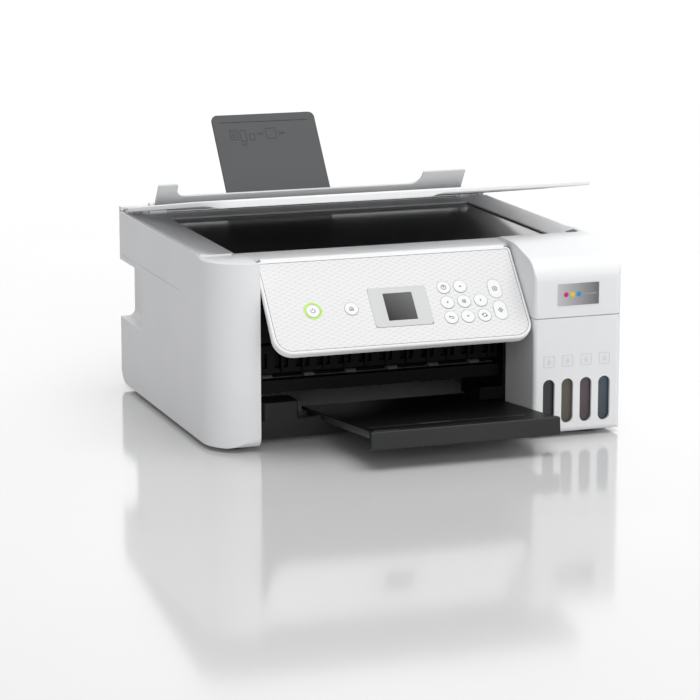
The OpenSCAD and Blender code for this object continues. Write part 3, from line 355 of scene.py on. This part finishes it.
def rounded(corners, n=8):
    """A closed outline through corners (x, y, radius), each rounded by an arc of n steps."""
    out = []
    for k, (x, y, r) in enumerate(corners):
        if r <= 0:
            out.append((x, y))
            continue
        here = Vector((x, y))
        a = (Vector(corners[k - 1][:2]) - here).normalized()
        b = (Vector(corners[(k + 1) % len(corners)][:2]) - here).normalized()
        half = a.angle(b) / 2
        centre = here + (a + b).normalized() * (r / math.sin(half))
        start = here + a * (r / math.tan(half)) - centre
        end = here + b * (r / math.tan(half)) - centre
        turn = math.atan2(start.x * end.y - start.y * end.x, start.dot(end))
        for s in range(n + 1):
            c, d = math.cos(turn * s / n), math.sin(turn * s / n)
            out.append((centre.x + start.x * c - start.y * d, centre.y + start.x * d + start.y * c))
    return out


def rectangle(x0, x1, y0, y1, r, n=8):
    """A rounded rectangle. r is one radius, or one for each corner from the lower left anticlockwise."""
    radii = r if isinstance(r, (list, tuple)) else (r, r, r, r)
    points = ((x0, y0), (x1, y0), (x1, y1), (x0, y1))
    return rounded([(x, y, radius) for (x, y), radius in zip(points, radii)], n)


def centred(x, y, width, height, r, inset=0.0, n=8):
    """A rounded rectangle round (x, y), drawn in by inset."""
    across, up = width / 2 - inset, height / 2 - inset
    return rectangle(x - across, x + across, y - up, y + up, r, n)


def shifted(points, x, y, turn=0.0):
    """An outline turned by degrees, then moved."""
    c, s = math.cos(math.radians(turn)), math.sin(math.radians(turn))
    return [(x + px * c - py * s, y + px * s + py * c) for px, py in points]


def made(bm):
    """Turns the faces outwards and gives the mesh."""
    bmesh.ops.recalc_face_normals(bm, faces=bm.faces)
    mesh = bpy.data.meshes.new("made")
    bm.to_mesh(mesh)
    bm.free()
    return mesh


def loft(rings, place, close_bottom=True, close_top=True, looped=False):
    """A mesh through rings of points (x, y, z) in mm, all of one count. A looped one ends where it starts."""
    bm = bmesh.new()
    loops = [[bm.verts.new(place @ (Vector(point) * MM)) for point in ring] for ring in rings]
    if looped:
        loops.append(loops[0])
    for lower, upper in zip(loops, loops[1:]):
        for k in range(len(lower)):
            j = (k + 1) % len(lower)
            bm.faces.new((lower[k], lower[j], upper[j], upper[k]))
    if close_bottom and not looped:
        bm.faces.new(list(reversed(loops[0])))
    if close_top and not looped:
        bm.faces.new(loops[-1])
    return made(bm)


def stack(rings, place, close_bottom=True, close_top=True):
    """A loft through flat rings, each (outline, height) in mm."""
    return loft([[(x, y, z) for x, y in outline] for outline, z in rings], place, close_bottom, close_top)


def prism(outline, height, place):
    return stack([(outline, 0), (outline, height)], place)


def rod(r, start, end, place, draw_in=0.4, n=32, x=0.0, y=0.0):
    """A round bar from start to end, with chamfered ends."""
    small, full = circle(r - draw_in, n, x, y), circle(r, n, x, y)
    return stack([(small, start), (full, start + CHAMFER_L), (full, end - CHAMFER_L), (small, end)], place)


def tube(points, width, height, place, closed=True):
    """A thin raised line of that width along 2-D points, for printed and embossed marks."""
    rows = []
    count = len(points)
    for k in range(count):
        p = Vector(points[k])
        before = Vector(points[k - 1]) if closed or k else p
        after = Vector(points[(k + 1) % count]) if closed or k < count - 1 else p
        a = (p - before).normalized() if (p - before).length else (after - p).normalized()
        b = (after - p).normalized() if (after - p).length else a
        side = Vector((-(a.y + b.y), a.x + b.x))
        side = side.normalized() if side.length else Vector((-a.y, a.x))
        spread = side * width / 2 / max(0.5, side.dot(Vector((-a.y, a.x))))
        left, right = p + spread, p - spread
        rows.append([(*left, 0), (*left, height), (*right, height), (*right, 0)])
    return loft(rows, place, looped=closed)


def join(meshes):
    bm = bmesh.new()
    for mesh in meshes:
        bm.from_mesh(mesh)
    return made(bm)


# ---------------------------------------------------------------- casings and working parts
body_low, body_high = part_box("lower_housing")

refined("lower_housing", 0.7, clamp=True)
refined("tower_cover", 0.7, clamp=True)
refined("scanner_deck", 0.9)
refined("left_side_panel", 0.4)
refined("rear_cover", 0.5)
refined("inner_frame", 0.4)
refined("base_pan", 1.0, "dark_block", clamp=True)
refined("platen", 0.5)
refined("star_wheel_holder", 0.5, "black_abs")
refined("rubber_feet", 0.6)
refined("paper_chute", 0.5)
refined("rear_sockets", 0.3)
refined("print_carriage", 0.6)
refined("lid_mat", 0.5)

for name in ("power_supply", "main_board", "carriage_rail", "timing_belt", "drive_motors", "capping_station",
             "case_screws", "hinge_pins", "black_tank_cap", "yellow_tank_cap", "magenta_tank_cap",
             "cyan_tank_cap", "scanner_base", "scanner_glass", "cis_rail", "cis_bar", "left_edge_guide",
             "right_edge_guide", "feed_roller", "eject_roller", "pinch_rollers", "pickup_roller",
             "drive_pulley", "idler_pulley"):
    refined(name, 0.3, segments=2)


# ---------------------------------------------------------------- ink tanks
TANK_W = 17.3
TANK_DARKEN_H = 60.0      # the tank's colour darkens from this height down to its floor
TANK_COLORS = {
    "black": (0.028, 0.029, 0.031),
    "yellow": (0.105, 0.098, 0.072),
    "magenta": (0.095, 0.072, 0.082),
    "cyan": (0.062, 0.082, 0.105),
}
tanks_low, tanks_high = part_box("ink_tanks")
TANK_PITCH = (tanks_high.x - tanks_low.x - TANK_W * MM) / (len(TANK_COLORS) - 1)
# Where each tank's middle is, and its window's
TANK_MIDDLES = [tanks_low.x + TANK_W * MM / 2 + k * TANK_PITCH for k in range(len(TANK_COLORS))]


def ink_tanks():
    """Each tank becomes its own piece, because each holds its own ink."""
    for middle, (color_name, color) in zip(TANK_MIDDLES, TANK_COLORS.items()):
        mesh = NODES["ink_tanks"].data.copy()
        bm = bmesh.new()
        bm.from_mesh(mesh)
        outside = [v for v in bm.verts if abs(v.co.x - middle) > TANK_PITCH / 2]
        bmesh.ops.delete(bm, geom=outside, context="VERTS")
        bm.to_mesh(mesh)
        bm.free()
        widest = round_edges(mesh, 1.0 * MM)
        ink = inked("ink_" + color_name, color, tanks_low.z, tanks_low.z + TANK_DARKEN_H * MM)
        obj = piece("ink_tank_" + color_name, mesh, ink, BODY_OF["ink_tanks"],
                    ("ink_tanks",))
        bevelled(obj, widest)


ink_tanks()


# ---------------------------------------------------------------- control panel
FACE_T, FACE_H = 2.0, 89.0
FACE_R_LOW, FACE_R_HIGH = 14.0, 1.5     # the face's lower and upper corners
BAND = 3.0                              # the frame's width round the face
BAND_HIGH = 2.5                         # and above it
BACK_MIN, BACK_GAIN = 2.4, 4.6          # the frame's depth at the top, and what it gains
WEDGE_START, WEDGE_L = 12.0, 74.0       # where the depth starts to grow, and over what length
# The pivot's barrel: its radius, and its middle in the panel's plane and behind the face
BARREL_R, BARREL_Y, BARREL_Z = 4.95, 2.5, -5.0
POST_W = 5.6                            # room for the post at each end of the barrel

inward = Vector(JOINTS["power_key_press"]["axis"]).normalized()
face_low, face_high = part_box("panel_face")
FACE_W = (face_high.x - face_low.x) / MM
# The panel's own plane: x across, y up the slope and z out of the face, from the middle of its top edge
panel_origin = Vector(((face_low.x + face_high.x) / 2, face_high.y - FACE_T * MM * inward.y, face_high.z))
up_slope = Vector((1, 0, 0)).cross(inward).normalized()
PANEL = Matrix.Translation(panel_origin) @ Matrix((
    (1, 0, 0, 0),
    (0, up_slope.y, -inward.y, 0),
    (0, up_slope.z, -inward.z, 0),
    (0, 0, 0, 1)))
PANEL_INVERSE = PANEL.inverted()


def on_panel(node):
    """A panel node's centre in the panel's own plane, in mm."""
    low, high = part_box(node)
    p = PANEL_INVERSE @ ((low + high) / 2)
    return p.x / MM, p.y / MM


def frame_ring(out, depth, at_back):
    """The frame's outline at a distance out from the face's edge. At the back it follows the wedge."""
    radii = (FACE_R_LOW + out, FACE_R_LOW + out, FACE_R_HIGH + out, FACE_R_HIGH + out)
    half = FACE_W / 2 + out
    ring = []
    for x, y in rectangle(-half, half, -FACE_H - out, min(out, BAND_HIGH), radii, 10):
        share = min(1.0, max(0.0, (-y - WEDGE_START) / WEDGE_L))
        ring.append((x, y, depth - (BACK_MIN + BACK_GAIN * share if at_back else 0.0)))
    return ring


def panel_frame():
    """The frame: a band round the face with a soft outer edge, sides that get deeper towards the bottom,
    the pocket for the face, and the pivot's barrel on its web behind the top edge."""
    # how far out each ring lies from the face's edge, and its depth
    back = [(BAND - 1.6, -0.2), (BAND - 0.5, 0.0), (BAND, 0.5)]
    front = [(BAND, -1.7), (BAND - 0.12, -1.15), (BAND - 0.45, -0.65), (BAND - 0.95, -0.25),
             (BAND - 1.6, 0.0), (0.4, 0.0), (0.25, -0.12), (0.25, -2.15)]
    rings = [frame_ring(out, depth, True) for out, depth in back]
    rings += [frame_ring(out, depth, False) for out, depth in front]
    reach = FACE_W / 2 + BAND - POST_W
    across = PANEL @ ALONG_X
    barrel = rod(BARREL_R, -reach, reach, across, 0.35, 40, BARREL_Y, BARREL_Z)
    section = [(-12.0, -2.0), (2.0, -2.0), (2.0, -7.5), (-12.0, -7.5)]
    web = stack([(section, -reach + 0.3), (section, reach - 0.3)], across)
    obj = piece("panel_frame_finished", join([loft(rings, PANEL), barrel, web]), "white_abs",
                "control_panel", ("panel_frame",))
    smooth(obj)


refined("panel_face", 0.25, segments=2)
panel_frame()

SURROUND_W, SURROUND_H = 54.5, 39.9
SCREEN_W, SCREEN_H = 27.6, 28.0
# The display is almost level with the home key, and its screen lies a little left of its middle
display_x = on_panel("lcd_module")[0]
display_y = on_panel("home_button")[1] - 0.8
screen_x = display_x - 0.2


def display():
    """The gray surround with its opening, and the dark screen a little below it, with a painted reflection
    lightening the screen.
    """
    def outer(inset):
        return centred(display_x, display_y, SURROUND_W, SURROUND_H, 3.0 - inset, inset)

    def opening(inset):
        return centred(screen_x, display_y, SCREEN_W, SCREEN_H, 0.5, inset)

    rings = [(outer(0), -1.9), (outer(0), 0.02), (outer(0.12), 0.06), (opening(0), 0.06),
             (opening(0.15), -0.05), (opening(0.15), -0.6), (outer(0.12), -1.9)]
    surround = piece("display_surround", stack(rings, PANEL, False, False), "display_surround",
                     "control_panel", ("lcd_module",))
    smooth(surround)
    screen = centred(screen_x, display_y, SCREEN_W, SCREEN_H, 0.4, 0.2)
    low, high = (PANEL @ (Vector((screen_x + side * SCREEN_W / 2, display_y + side * SCREEN_H / 2, 0)) * MM)
                 for side in (-1, 1))
    # The screen's colour lightens from its lower left to its upper right: a painted reflection on the screen.
    dark = graded("display_screen", (0.012, 0.012, 0.013), (0.14, 0.141, 0.144),
                  {"X": (low.x, high.x), "Z": (low.z, high.z)}, 0.0, 0.2, 0.12)
    piece("display_screen", stack([(screen, -1.2), (screen, -0.25)], PANEL), dark, "control_panel")


display()

KEY_R = 6.15
# The cap's sides and slightly dished top: how far the outline draws in, and at what height
KEY_LEVELS = [(0.0, -1.2), (0.0, 0.03), (0.06, 0.11), (0.25, 0.16), (0.8, 0.18), (KEY_R * 0.5, 0.14)]
PILLS = {"stop": 3.4, "start": 3.4}     # keys that are longer at each end, and by how much
MARK_LINE, MARK_RAISED = 0.5, 0.07      # a key mark's line width and height
GAP_LINE_W, GAP_LINE_H = 0.34, 0.52     # the gray ring painted into the gap round a key as the gap's shade, which starts 0.5 mm below the face
SEAM_W, SEAM_H, SEAM_GAP = 0.36, 0.82, 0.12     # the dark line round the face

# Each mark is a list of ("line", points, closed) and ("solid", points) in mm round the key's centre
TRIANGLE = [(1.25, -0.65), (0.0, 0.85), (-1.25, -0.65)]
MARKS = {
    "power": [("line", arc(2.0, 125, 415, 22), False), ("line", [(0, 0.6), (0, 2.5)], False)],
    "home": [("line", [(-1.7, -1.6), (-1.7, 0.5), (0, 1.9), (1.7, 0.5), (1.7, -1.6)], True),
             ("line", [(-0.5, -1.5), (-0.5, -0.2), (0.6, -0.2), (0.6, -1.5)], False)],
    "help": [("line", circle(2.3, 28), True), ("line", arc(0.75, 190, -60, 12, 0, 0.55), False),
             ("line", [(0.35, -0.1), (0.0, -0.65)], False), ("solid", circle(0.22, 10, 0, -1.3))],
    "up": [("solid", TRIANGLE)],
    "left": [("solid", shifted(TRIANGLE, 0, 0, 90))],
    "ok": [("line", circle(1.7, 26), True), ("solid", circle(0.75, 16))],
    "right": [("solid", shifted(TRIANGLE, 0, 0, -90))],
    "back": [("line", [(-2.0, 0.6), (1.2, 0.6)] + arc(0.9, 90, -90, 8, 1.2, -0.3) + [(-0.4, -1.2)], False),
             ("line", [(-1.1, 1.5), (-2.0, 0.6), (-1.1, -0.3)], False)],
    "down": [("solid", shifted(TRIANGLE, 0, 0, 180))],
    "switch": [("line", arc(1.9, 30, 150, 10), False), ("line", arc(1.9, 210, 330, 10), False),
               ("solid", shifted(TRIANGLE, -1.75, 0.4, 190)), ("solid", shifted(TRIANGLE, 1.75, -0.4, 10))],
    "stop": [("line", shifted(circle(2.3, 8), 0, 0, 22.5), True), ("line", [(-1.0, -1.0), (1.0, 1.0)], False),
             ("line", [(-1.0, 1.0), (1.0, -1.0)], False)],
    "start": [("line", [(0, 2.3), (2.1, 0), (0, -2.3), (-2.1, 0)], True),
              ("line", [(-0.5, 1.0), (0.6, 0), (-0.5, -1.0)], False)],
}


def key_outline(r, stretch, n=48):
    """A circle, or a pill that is longer by stretch at each end."""
    halves = [stretch if 0 < k < n / 2 else -stretch for k in range(n)]
    return [(x, y + half) for (x, y), half in zip(circle(r, n), halves)]


def key(name, mark):
    """One key's cap and mark, and the thin gray ring in the gap round it, painted as the gap's shade."""
    x, y = on_panel(name + "_button")
    place = PANEL @ moved(x, y)
    stretch = PILLS.get(name, 0.0)
    body = name + "_key"
    rings = [(key_outline(KEY_R - inset, stretch), z) for inset, z in KEY_LEVELS]
    cap = piece(name + "_key_cap", stack(rings, place), "key_plastic", body,
                (name + "_button",))
    smooth(cap)
    raised = place @ moved(z=0.12)
    meshes = []
    for kind, points, *closed in mark:
        if kind == "line":
            meshes.append(tube(points, MARK_LINE, MARK_RAISED, raised, closed[0]))
        else:
            meshes.append(prism(points, MARK_RAISED, raised))
    piece(name + "_key_mark", join(meshes), "print_gray", body)
    # a thin gray ring in the gap round the key: painted shade of the gap
    line = tube(key_outline(KEY_R + 0.2, stretch), GAP_LINE_W, GAP_LINE_H, place @ moved(z=-0.5))
    piece(name + "_key_gap_shade", line, "print_fine", "control_panel")


for name, mark in MARKS.items():
    key(name, mark)


def power_ring():
    """The light guide round the power key, raised over the face."""
    inner, outer = KEY_R + 0.55, KEY_R + 2.3
    rings = [(circle(outer, 64), 0.0), (circle(outer, 64), 0.10), (circle(outer - 0.35, 64), 0.16),
             (circle(inner + 0.35, 64), 0.16), (circle(inner, 64), 0.10), (circle(inner, 64), 0.0)]
    place = PANEL @ moved(*on_panel("power_button"))
    ring = piece("power_light_ring", stack(rings, place, False, False), "power_glow", "control_panel")
    smooth(ring)


def panel_seam():
    """The fine dark line round the panel's face, where the face sits in its frame."""
    half = FACE_W / 2 + SEAM_GAP
    radii = (FACE_R_LOW + 0.1, FACE_R_LOW + 0.1, FACE_R_HIGH, FACE_R_HIGH)
    outline = rectangle(-half, half, -FACE_H - SEAM_GAP, SEAM_GAP, radii, 16)
    line = tube(outline, SEAM_W, SEAM_H, PANEL @ moved(z=-0.8))
    piece("panel_seam", line, "seam_shadow", "control_panel")


power_ring()
panel_seam()


# ---------------------------------------------------------------- tower marks
TAG_Z, TAG_W, TAG_RAISED = 70.6, 10.0, 0.24     # the embossed squares: height from the floor, width, relief
# The badge's dots and its bar, from the plate's left end
DOT_R, DOT_X, DOT_PITCH = 2.3, 8.0, 6.2
BAR_X, BAR_W, BAR_H = 25.2, 12.5, 1.2
SLOT_IN, SLOT_BACK = 10.0, 93.5         # from the deck's right side, and from its front


def tank_marks():
    """Four embossed squares above the windows, each with a plain drop."""
    front = Matrix.Translation(Vector((0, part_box("tower_cover")[0].y, 0))) @ UPRIGHT
    drop = arc(1.9, 155, 385, 16, 0, -0.8) + [(0, 3.1)]
    meshes = []
    for middle in TANK_MIDDLES:
        place = front @ moved(middle / MM, TAG_Z, -0.02)
        meshes.append(tube(centred(0, 0, TAG_W, TAG_W, 0.8, n=4), 0.8, TAG_RAISED, place))
        meshes.append(prism(drop, TAG_RAISED, place))
    smooth(piece("tank_marks", join(meshes), "mark_white", BODY_OF["tower_cover"]))


def badge():
    """The metallic plate with three plain dots and a bar."""
    refined("badge_plate", 0.2, segments=2)
    plate_left = Vector((badge_low.x, badge_low.y - 0.02 * MM, (badge_low.z + badge_high.z) / 2))
    front = Matrix.Translation(plate_left) @ UPRIGHT
    body = BODY_OF["badge_plate"]
    colors = {"magenta": (0.55, 0.02, 0.20), "yellow": (0.85, 0.55, 0.02), "cyan": (0.02, 0.30, 0.62)}
    for k, (color_name, color) in enumerate(colors.items()):
        rings = [(circle(DOT_R, 32), 0), (circle(DOT_R, 32), 0.1), (circle(DOT_R - 0.3, 32), 0.18)]
        dot = stack(rings, front @ moved(DOT_X + DOT_PITCH * k))
        ink = moulded("badge_" + color_name, color, 0.3, 1500.0)
        smooth(piece("badge_dot_" + color_name, dot, ink, body))
    bar = rectangle(0, BAR_W, -BAR_H / 2, BAR_H / 2, BAR_H / 2, 4)
    piece("badge_bar", prism(bar, 0.12, front @ moved(BAR_X)), "print_fine", body)


def tower_slot():
    """The small dark latch slot on top of the tower, near its right edge."""
    deck = NODES["scanner_deck"].data
    deck_low, deck_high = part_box("scanner_deck")
    above = Vector((deck_high.x - SLOT_IN * MM, deck_low.y + SLOT_BACK * MM, 1.0))
    surface = BVHTree.FromPolygons([v.co for v in deck.vertices], [p.vertices for p in deck.polygons])
    spot, normal = surface.ray_cast(above, Vector((0, 0, -1)))[:2]
    tilt = Vector((0, 0, 1)).rotation_difference(normal).to_matrix().to_4x4()
    place = Matrix.Translation(spot - normal * 0.1 * MM) @ tilt
    outer, inner = centred(0, 0, 9.2, 11.0, 0.8, n=4), centred(0, 0, 8.0, 9.8, 0.6, n=4)
    rings = [(outer, 0.0), (outer, 0.22), (inner, 0.22), (inner, 0.12)]
    piece("tower_slot", stack(rings, place), "dark_block", BODY_OF["scanner_deck"])


tank_marks()
badge()
tower_slot()


# ---------------------------------------------------------------- lid
lid_joint = JOINTS["lid_hinge"]
LID_OPEN = -lid_joint["range_deg"][0]
LID = Matrix.Translation(Vector(lid_joint["pos_m"])) @ Matrix.Rotation(math.radians(-LID_OPEN), 4, "X")
# The lid's edges in its own plane, in mm from the hinge
BODY_HALF = (body_high.x - body_low.x) / 2 / MM
LID_HALF = BODY_HALF - 0.5
LID_SETBACK = 27.0                      # behind the housing's front
LID_FRONT = body_low.y / MM + LID_SETBACK - lid_joint["pos_m"][1] / MM
LID_BACK = -12.5
LID_R_LEFT, LID_R_RIGHT = 30.0, 12.0    # the front corners
# The finger lip: its depth, and where along the front edge it fades out
LIP_DEPTH = 2.6
LIP_FADE, LIP_END = body_low.x / MM + 213, body_low.x / MM + 226
EAR_W = 20.0
EAR_BARREL_R, EAR_BARREL_ENDS = 4.6, (3.2, 9.4)     # the ends are measured in from the body's side


def lid_plate():
    """The plate with soft edges, hollowed a little underneath."""
    def plan(inset):
        radii = (LID_R_LEFT - inset, LID_R_RIGHT - inset, 3, 3)
        return rectangle(-LID_HALF + inset, LID_HALF - inset, LID_FRONT + inset, LID_BACK - inset, radii, 10)

    def under(inset):
        return rectangle(-LID_HALF + inset, LID_HALF - inset, LID_FRONT + inset, LID_BACK - 2,
                         (26, 8, 2, 2), 10)

    # the edge's insets and heights, from below to the top
    edge = [(0.9, 0.0), (0.2, 0.25), (0.0, 0.9), (0.0, 2.9), (0.35, 3.8), (1.3, 4.35), (2.8, 4.5)]
    hollow = [(under(5.6), 1.4), (under(5.0), 0.0)]
    return stack(hollow + [(plan(inset), z) for inset, z in edge], LID)


def lid_lip():
    """The lip under the front edge: it grows round the left corner and ends in a soft step."""
    straight_x = LID_R_LEFT - LID_HALF
    turn = arc(LID_R_LEFT, 212, 270, 20, straight_x, LID_FRONT + LID_R_LEFT)
    path = [(point, min(1.0, k / 12)) for k, point in enumerate(turn)]
    steps = 40
    for k in range(1, steps + 1):
        x = straight_x + (LIP_END - straight_x) * k / steps
        path.append(((x, LID_FRONT), min(1.0, max(0.0, (LIP_END - x) / (LIP_END - LIP_FADE)))))
    rows = []
    for k, ((x, y), share) in enumerate(path):
        ahead = Vector(path[min(k + 1, len(path) - 1)][0]) - Vector(path[max(k - 1, 0)][0])
        side = Vector((-ahead.y, ahead.x)).normalized()
        depth = LIP_DEPTH * share * share * (3 - 2 * share)
        section = [(0.25, 1.2), (0.0, 0.7), (0.0, 0.5 - depth), (0.3, -depth), (1.4, -depth),
                   (1.8, 0.4 - depth), (1.8, 1.2)]
        rows.append([(x + side.x * inset, y + side.y * inset, z) for inset, z in section])
    return loft(rows, LID)


def lid_ears():
    """A raised ear at each rear corner, with its hinge barrel."""
    meshes = []
    for side in (-1, 1):
        x0, x1 = sorted((side * LID_HALF, side * (LID_HALF - EAR_W)))
        ear = rectangle(x0, x1, LID_BACK - 1, 0.4, 1.0, 4)
        crown = rectangle(x0 + 0.4, x1 - 0.4, LID_BACK - 1, 0.0, 0.8, 4)
        meshes.append(stack([(ear, 2.0), (ear, 3.4), (crown, 3.9)], LID @ moved(z=0.5)))
        start, end = sorted(side * (BODY_HALF - gap) for gap in EAR_BARREL_ENDS)
        meshes.append(rod(EAR_BARREL_R, start, end, LID @ ALONG_X))
    return meshes


smooth(piece("lid_shell_finished", join([lid_plate(), lid_lip()] + lid_ears()), "lid_white",
             BODY_OF["lid_shell"], ("lid_shell",)))


# ---------------------------------------------------------------- paper feed and output
refined("feeder_guard", 0.5)

support_axis = Vector(JOINTS["support_slide"]["axis"])
SUPPORT_LEAN = math.atan2(support_axis.y, support_axis.z)
SUPPORT_T = 3.2
MARK_SHEETS = ((-34.0, 7.5, 10.5), (-24.5, 6.0, 12.0), (-15.5, 5.0, 7.0))     # each x, width and height


def support_marks():
    """Two fine pictograms, in mm from the middle of the plate's top edge on its front face."""
    low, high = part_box("paper_support")
    top = Vector(((low.x + high.x) / 2, high.y - SUPPORT_T * MM * math.cos(SUPPORT_LEAN), high.z))
    front = Matrix.Translation(top) @ Matrix.Rotation(-SUPPORT_LEAN, 4, "X") @ UPRIGHT
    marks = []

    def line(points, closed=True):
        marks.append(tube(points, 0.55, 0.12, front, closed))

    # sheets that go in upright
    for k, (x, width, height) in enumerate(MARK_SHEETS):
        line(centred(x, -23.0 - 1.5 * k, width, height, 0.4, n=2))
    for y in (-20.5, -23.0, -25.5):
        line([(-36.2, y), (-32.2, y)], False)
    line([(-27.0, -33.5), (-24.5, -36.5), (-22.0, -33.5)])
    # edge guides that close in on a sheet
    line(rectangle(-0.5, 9.5, -28.5, -17.0, 0.4, 2))
    for side in (-1, 1):
        base = 4.5 + side * 7.5
        line([(base + side * 1.0, -25.0), (base + side * 1.0, -20.0)], False)
        line([(base + side * 8.0, -23.0), (base + side * 3.0, -23.0)], False)
        line([(base + side * 4.6, -21.6), (base + side * 2.6, -23.0), (base + side * 4.6, -24.4)], False)
    piece("paper_support_marks", join(marks), "pictogram", "rear_support")


refined("paper_support", 0.6)
support_marks()

tray_axis = Vector(JOINTS["tray_slide"]["axis"])
TRAY_SLOPE = math.atan2(tray_axis.z, -tray_axis.y)
RAIL_START, RAIL_END = 8.0, 176.0       # along the tray, from its front edge
tray_low, tray_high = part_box("output_tray")
TRAY_LEFT, TRAY_RIGHT = tray_low.x / MM, tray_high.x / MM
# The tray's own frame: y back along the plate and z off its top face, from its front edge
TRAY = Matrix.Translation(Vector((0, tray_low.y, tray_high.z))) @ Matrix.Rotation(-TRAY_SLOPE, 4, "X")


def tray_lip():
    """The hooked front lip as one bent section: outer face, rolled top and the turned-back hook below."""
    outer = [(0.0, -15.2), (0.0, -1.2)] + arc(1.2, 180, 90, 6, 1.2, -1.2)[1:] + [(7.5, 0.0)]
    inner = [(7.5, -1.6), (2.9, -1.6)] + arc(0.9, 90, 180, 6, 2.9, -2.5)[1:] + [(2.0, -13.2)]
    hook = arc(1.6, 180, 270, 6, 3.6, -13.2)[1:] + [(6.4, -14.8), (6.4, -16.0), (0.8, -16.0)]
    section = outer + inner + hook
    end = shifted(section, 0.15, 0)
    rings = [(end, TRAY_LEFT), (section, TRAY_LEFT + 0.3), (section, TRAY_RIGHT - 0.3), (end, TRAY_RIGHT)]
    lip = stack(rings, TRAY @ ALONG_X)
    smooth(piece("output_tray_lip", lip, "tray_lip_plastic", "tray"))


def tray_lines():
    """Raised guide lines across the plate, by the stopper and near the lip, and the rail on its left edge."""
    stop_low, stop_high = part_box("paper_stopper")
    lines = [tube([(start, y), (end, y)], 0.7, 0.35, TRAY, False)
             for y, start, end in ((27.5, stop_low.x / MM + 2, stop_high.x / MM + 14),
                                   (4.4, TRAY_LEFT + 3, TRAY_LEFT + 26))]
    rail = shifted([(0.75, -6.2), (0.75, -0.7), (1.1, -0.25), (1.6, -0.25), (1.6, -6.2)], TRAY_LEFT, 0)
    lines.append(stack([(rail, RAIL_START), (rail, RAIL_END)], TRAY @ ALONG_Y))
    smooth(piece("tray_lines", join(lines), "rail_gray", "tray"))


tray_lip()
refined("output_tray", 0.5, "tray_plastic")
tray_lines()
refined("paper_stopper", 0.3, "tray_plastic")


# ---------------------------------------------------------------- CAD nodes that are shown as they are
for node_name, obj in NODES.items():
    if not obj.hide_render:
        obj.data.materials.clear()
        obj.data.materials.append(MATS[SLOT_OF[node_name]])


# ---------------------------------------------------------------- stage, light and camera
FLOOR_REACH = 6.0
BRIGHT_SIDE = (0.55, 0.84, 0.0)         # the direction of the brightest surroundings
CAMERA_PLACE = (-0.91417, -2.52234, 0.62176)
CAMERA_DROP, CAMERA_TURN = 11.924, -19.678      # degrees below level, and away from straight back
CAMERA_LENS, SENSOR_W = 150.0, 36.0


def floor():
    mesh = bpy.data.meshes.new("floor")
    corners = [(x * FLOOR_REACH, y * FLOOR_REACH, 0) for x, y in ((-1, -1), (1, -1), (1, 1), (-1, 1))]
    mesh.from_pydata(corners, [], [(0, 1, 2, 3)])
    obj = bpy.data.objects.new("floor", mesh)
    bpy.context.scene.collection.objects.link(obj)
    m = Nodes("floor")
    m.set(Base_Color=m.ramp(m.noise(2.0), (0.60, 0.60, 0.605), (0.63, 0.63, 0.635)),
          Roughness=m.span(m.noise(5.0), 0.09, 0.11))
    mesh.materials.append(m.material)


def area_light(name, place, target, size, power):
    data = bpy.data.lights.new(name, "AREA")
    data.shape = "RECTANGLE"
    data.size, data.size_y = size
    data.energy = power
    obj = bpy.data.objects.new(name, data)
    bpy.context.scene.collection.objects.link(obj)
    obj.location = place
    obj.rotation_euler = (Vector(target) - Vector(place)).to_track_quat("-Z", "Y").to_euler()


def eased(tree, start, end, low, high):
    """A node that eases from low to high while its value goes from start to end."""
    node = tree.nodes.new("ShaderNodeMapRange")
    node.interpolation_type = "SMOOTHSTEP"
    for key_name, value in (("From Min", start), ("From Max", end), ("To Min", low), ("To Max", high)):
        node.inputs[key_name].default_value = value
    return node


def studio():
    """Pale surroundings: brightest behind the printer, softer in front of it and overhead."""
    world = bpy.data.worlds.new("studio")
    world.use_nodes = True
    tree = world.node_tree
    direction = tree.nodes.new("ShaderNodeTexCoord").outputs["Generated"]
    facing = tree.nodes.new("ShaderNodeVectorMath")
    facing.operation = "DOT_PRODUCT"
    facing.inputs[1].default_value = BRIGHT_SIDE
    height = tree.nodes.new("ShaderNodeSeparateXYZ")
    around = eased(tree, -0.6, 0.6, 0.55, 1.65)
    band = eased(tree, 0.25, 0.6, 1.0, 0.3)
    strength = tree.nodes.new("ShaderNodeMath")
    strength.operation = "MULTIPLY"
    background = tree.nodes["Background"]
    background.inputs["Color"].default_value = (1.0, 1.0, 1.0, 1)
    tree.links.new(direction, facing.inputs[0])
    tree.links.new(direction, height.inputs[0])
    tree.links.new(facing.outputs["Value"], around.inputs["Value"])
    tree.links.new(height.outputs["Z"], band.inputs["Value"])
    tree.links.new(around.outputs["Result"], strength.inputs[0])
    tree.links.new(band.outputs["Result"], strength.inputs[1])
    tree.links.new(strength.outputs["Value"], background.inputs["Strength"])
    bpy.context.scene.world = world


def add_camera():
    data = bpy.data.cameras.new("camera")
    data.lens = CAMERA_LENS
    data.sensor_width = SENSOR_W
    camera = bpy.data.objects.new("camera", data)
    bpy.context.scene.collection.objects.link(camera)
    camera.location = CAMERA_PLACE
    camera.rotation_euler = (math.radians(90 - CAMERA_DROP), 0.0, math.radians(CAMERA_TURN))
    bpy.context.scene.camera = camera


floor()
area_light("top_light", (0.3, -0.6, 2.6), (0, 0, 0), (2.6, 2.6), 58)
area_light("front_light", (-0.3, -2.6, 0.9), (0, 0, 0.1), (1.8, 1.2), 20)
studio()
add_camera()
bpy.context.scene.view_settings.view_transform = "Standard"
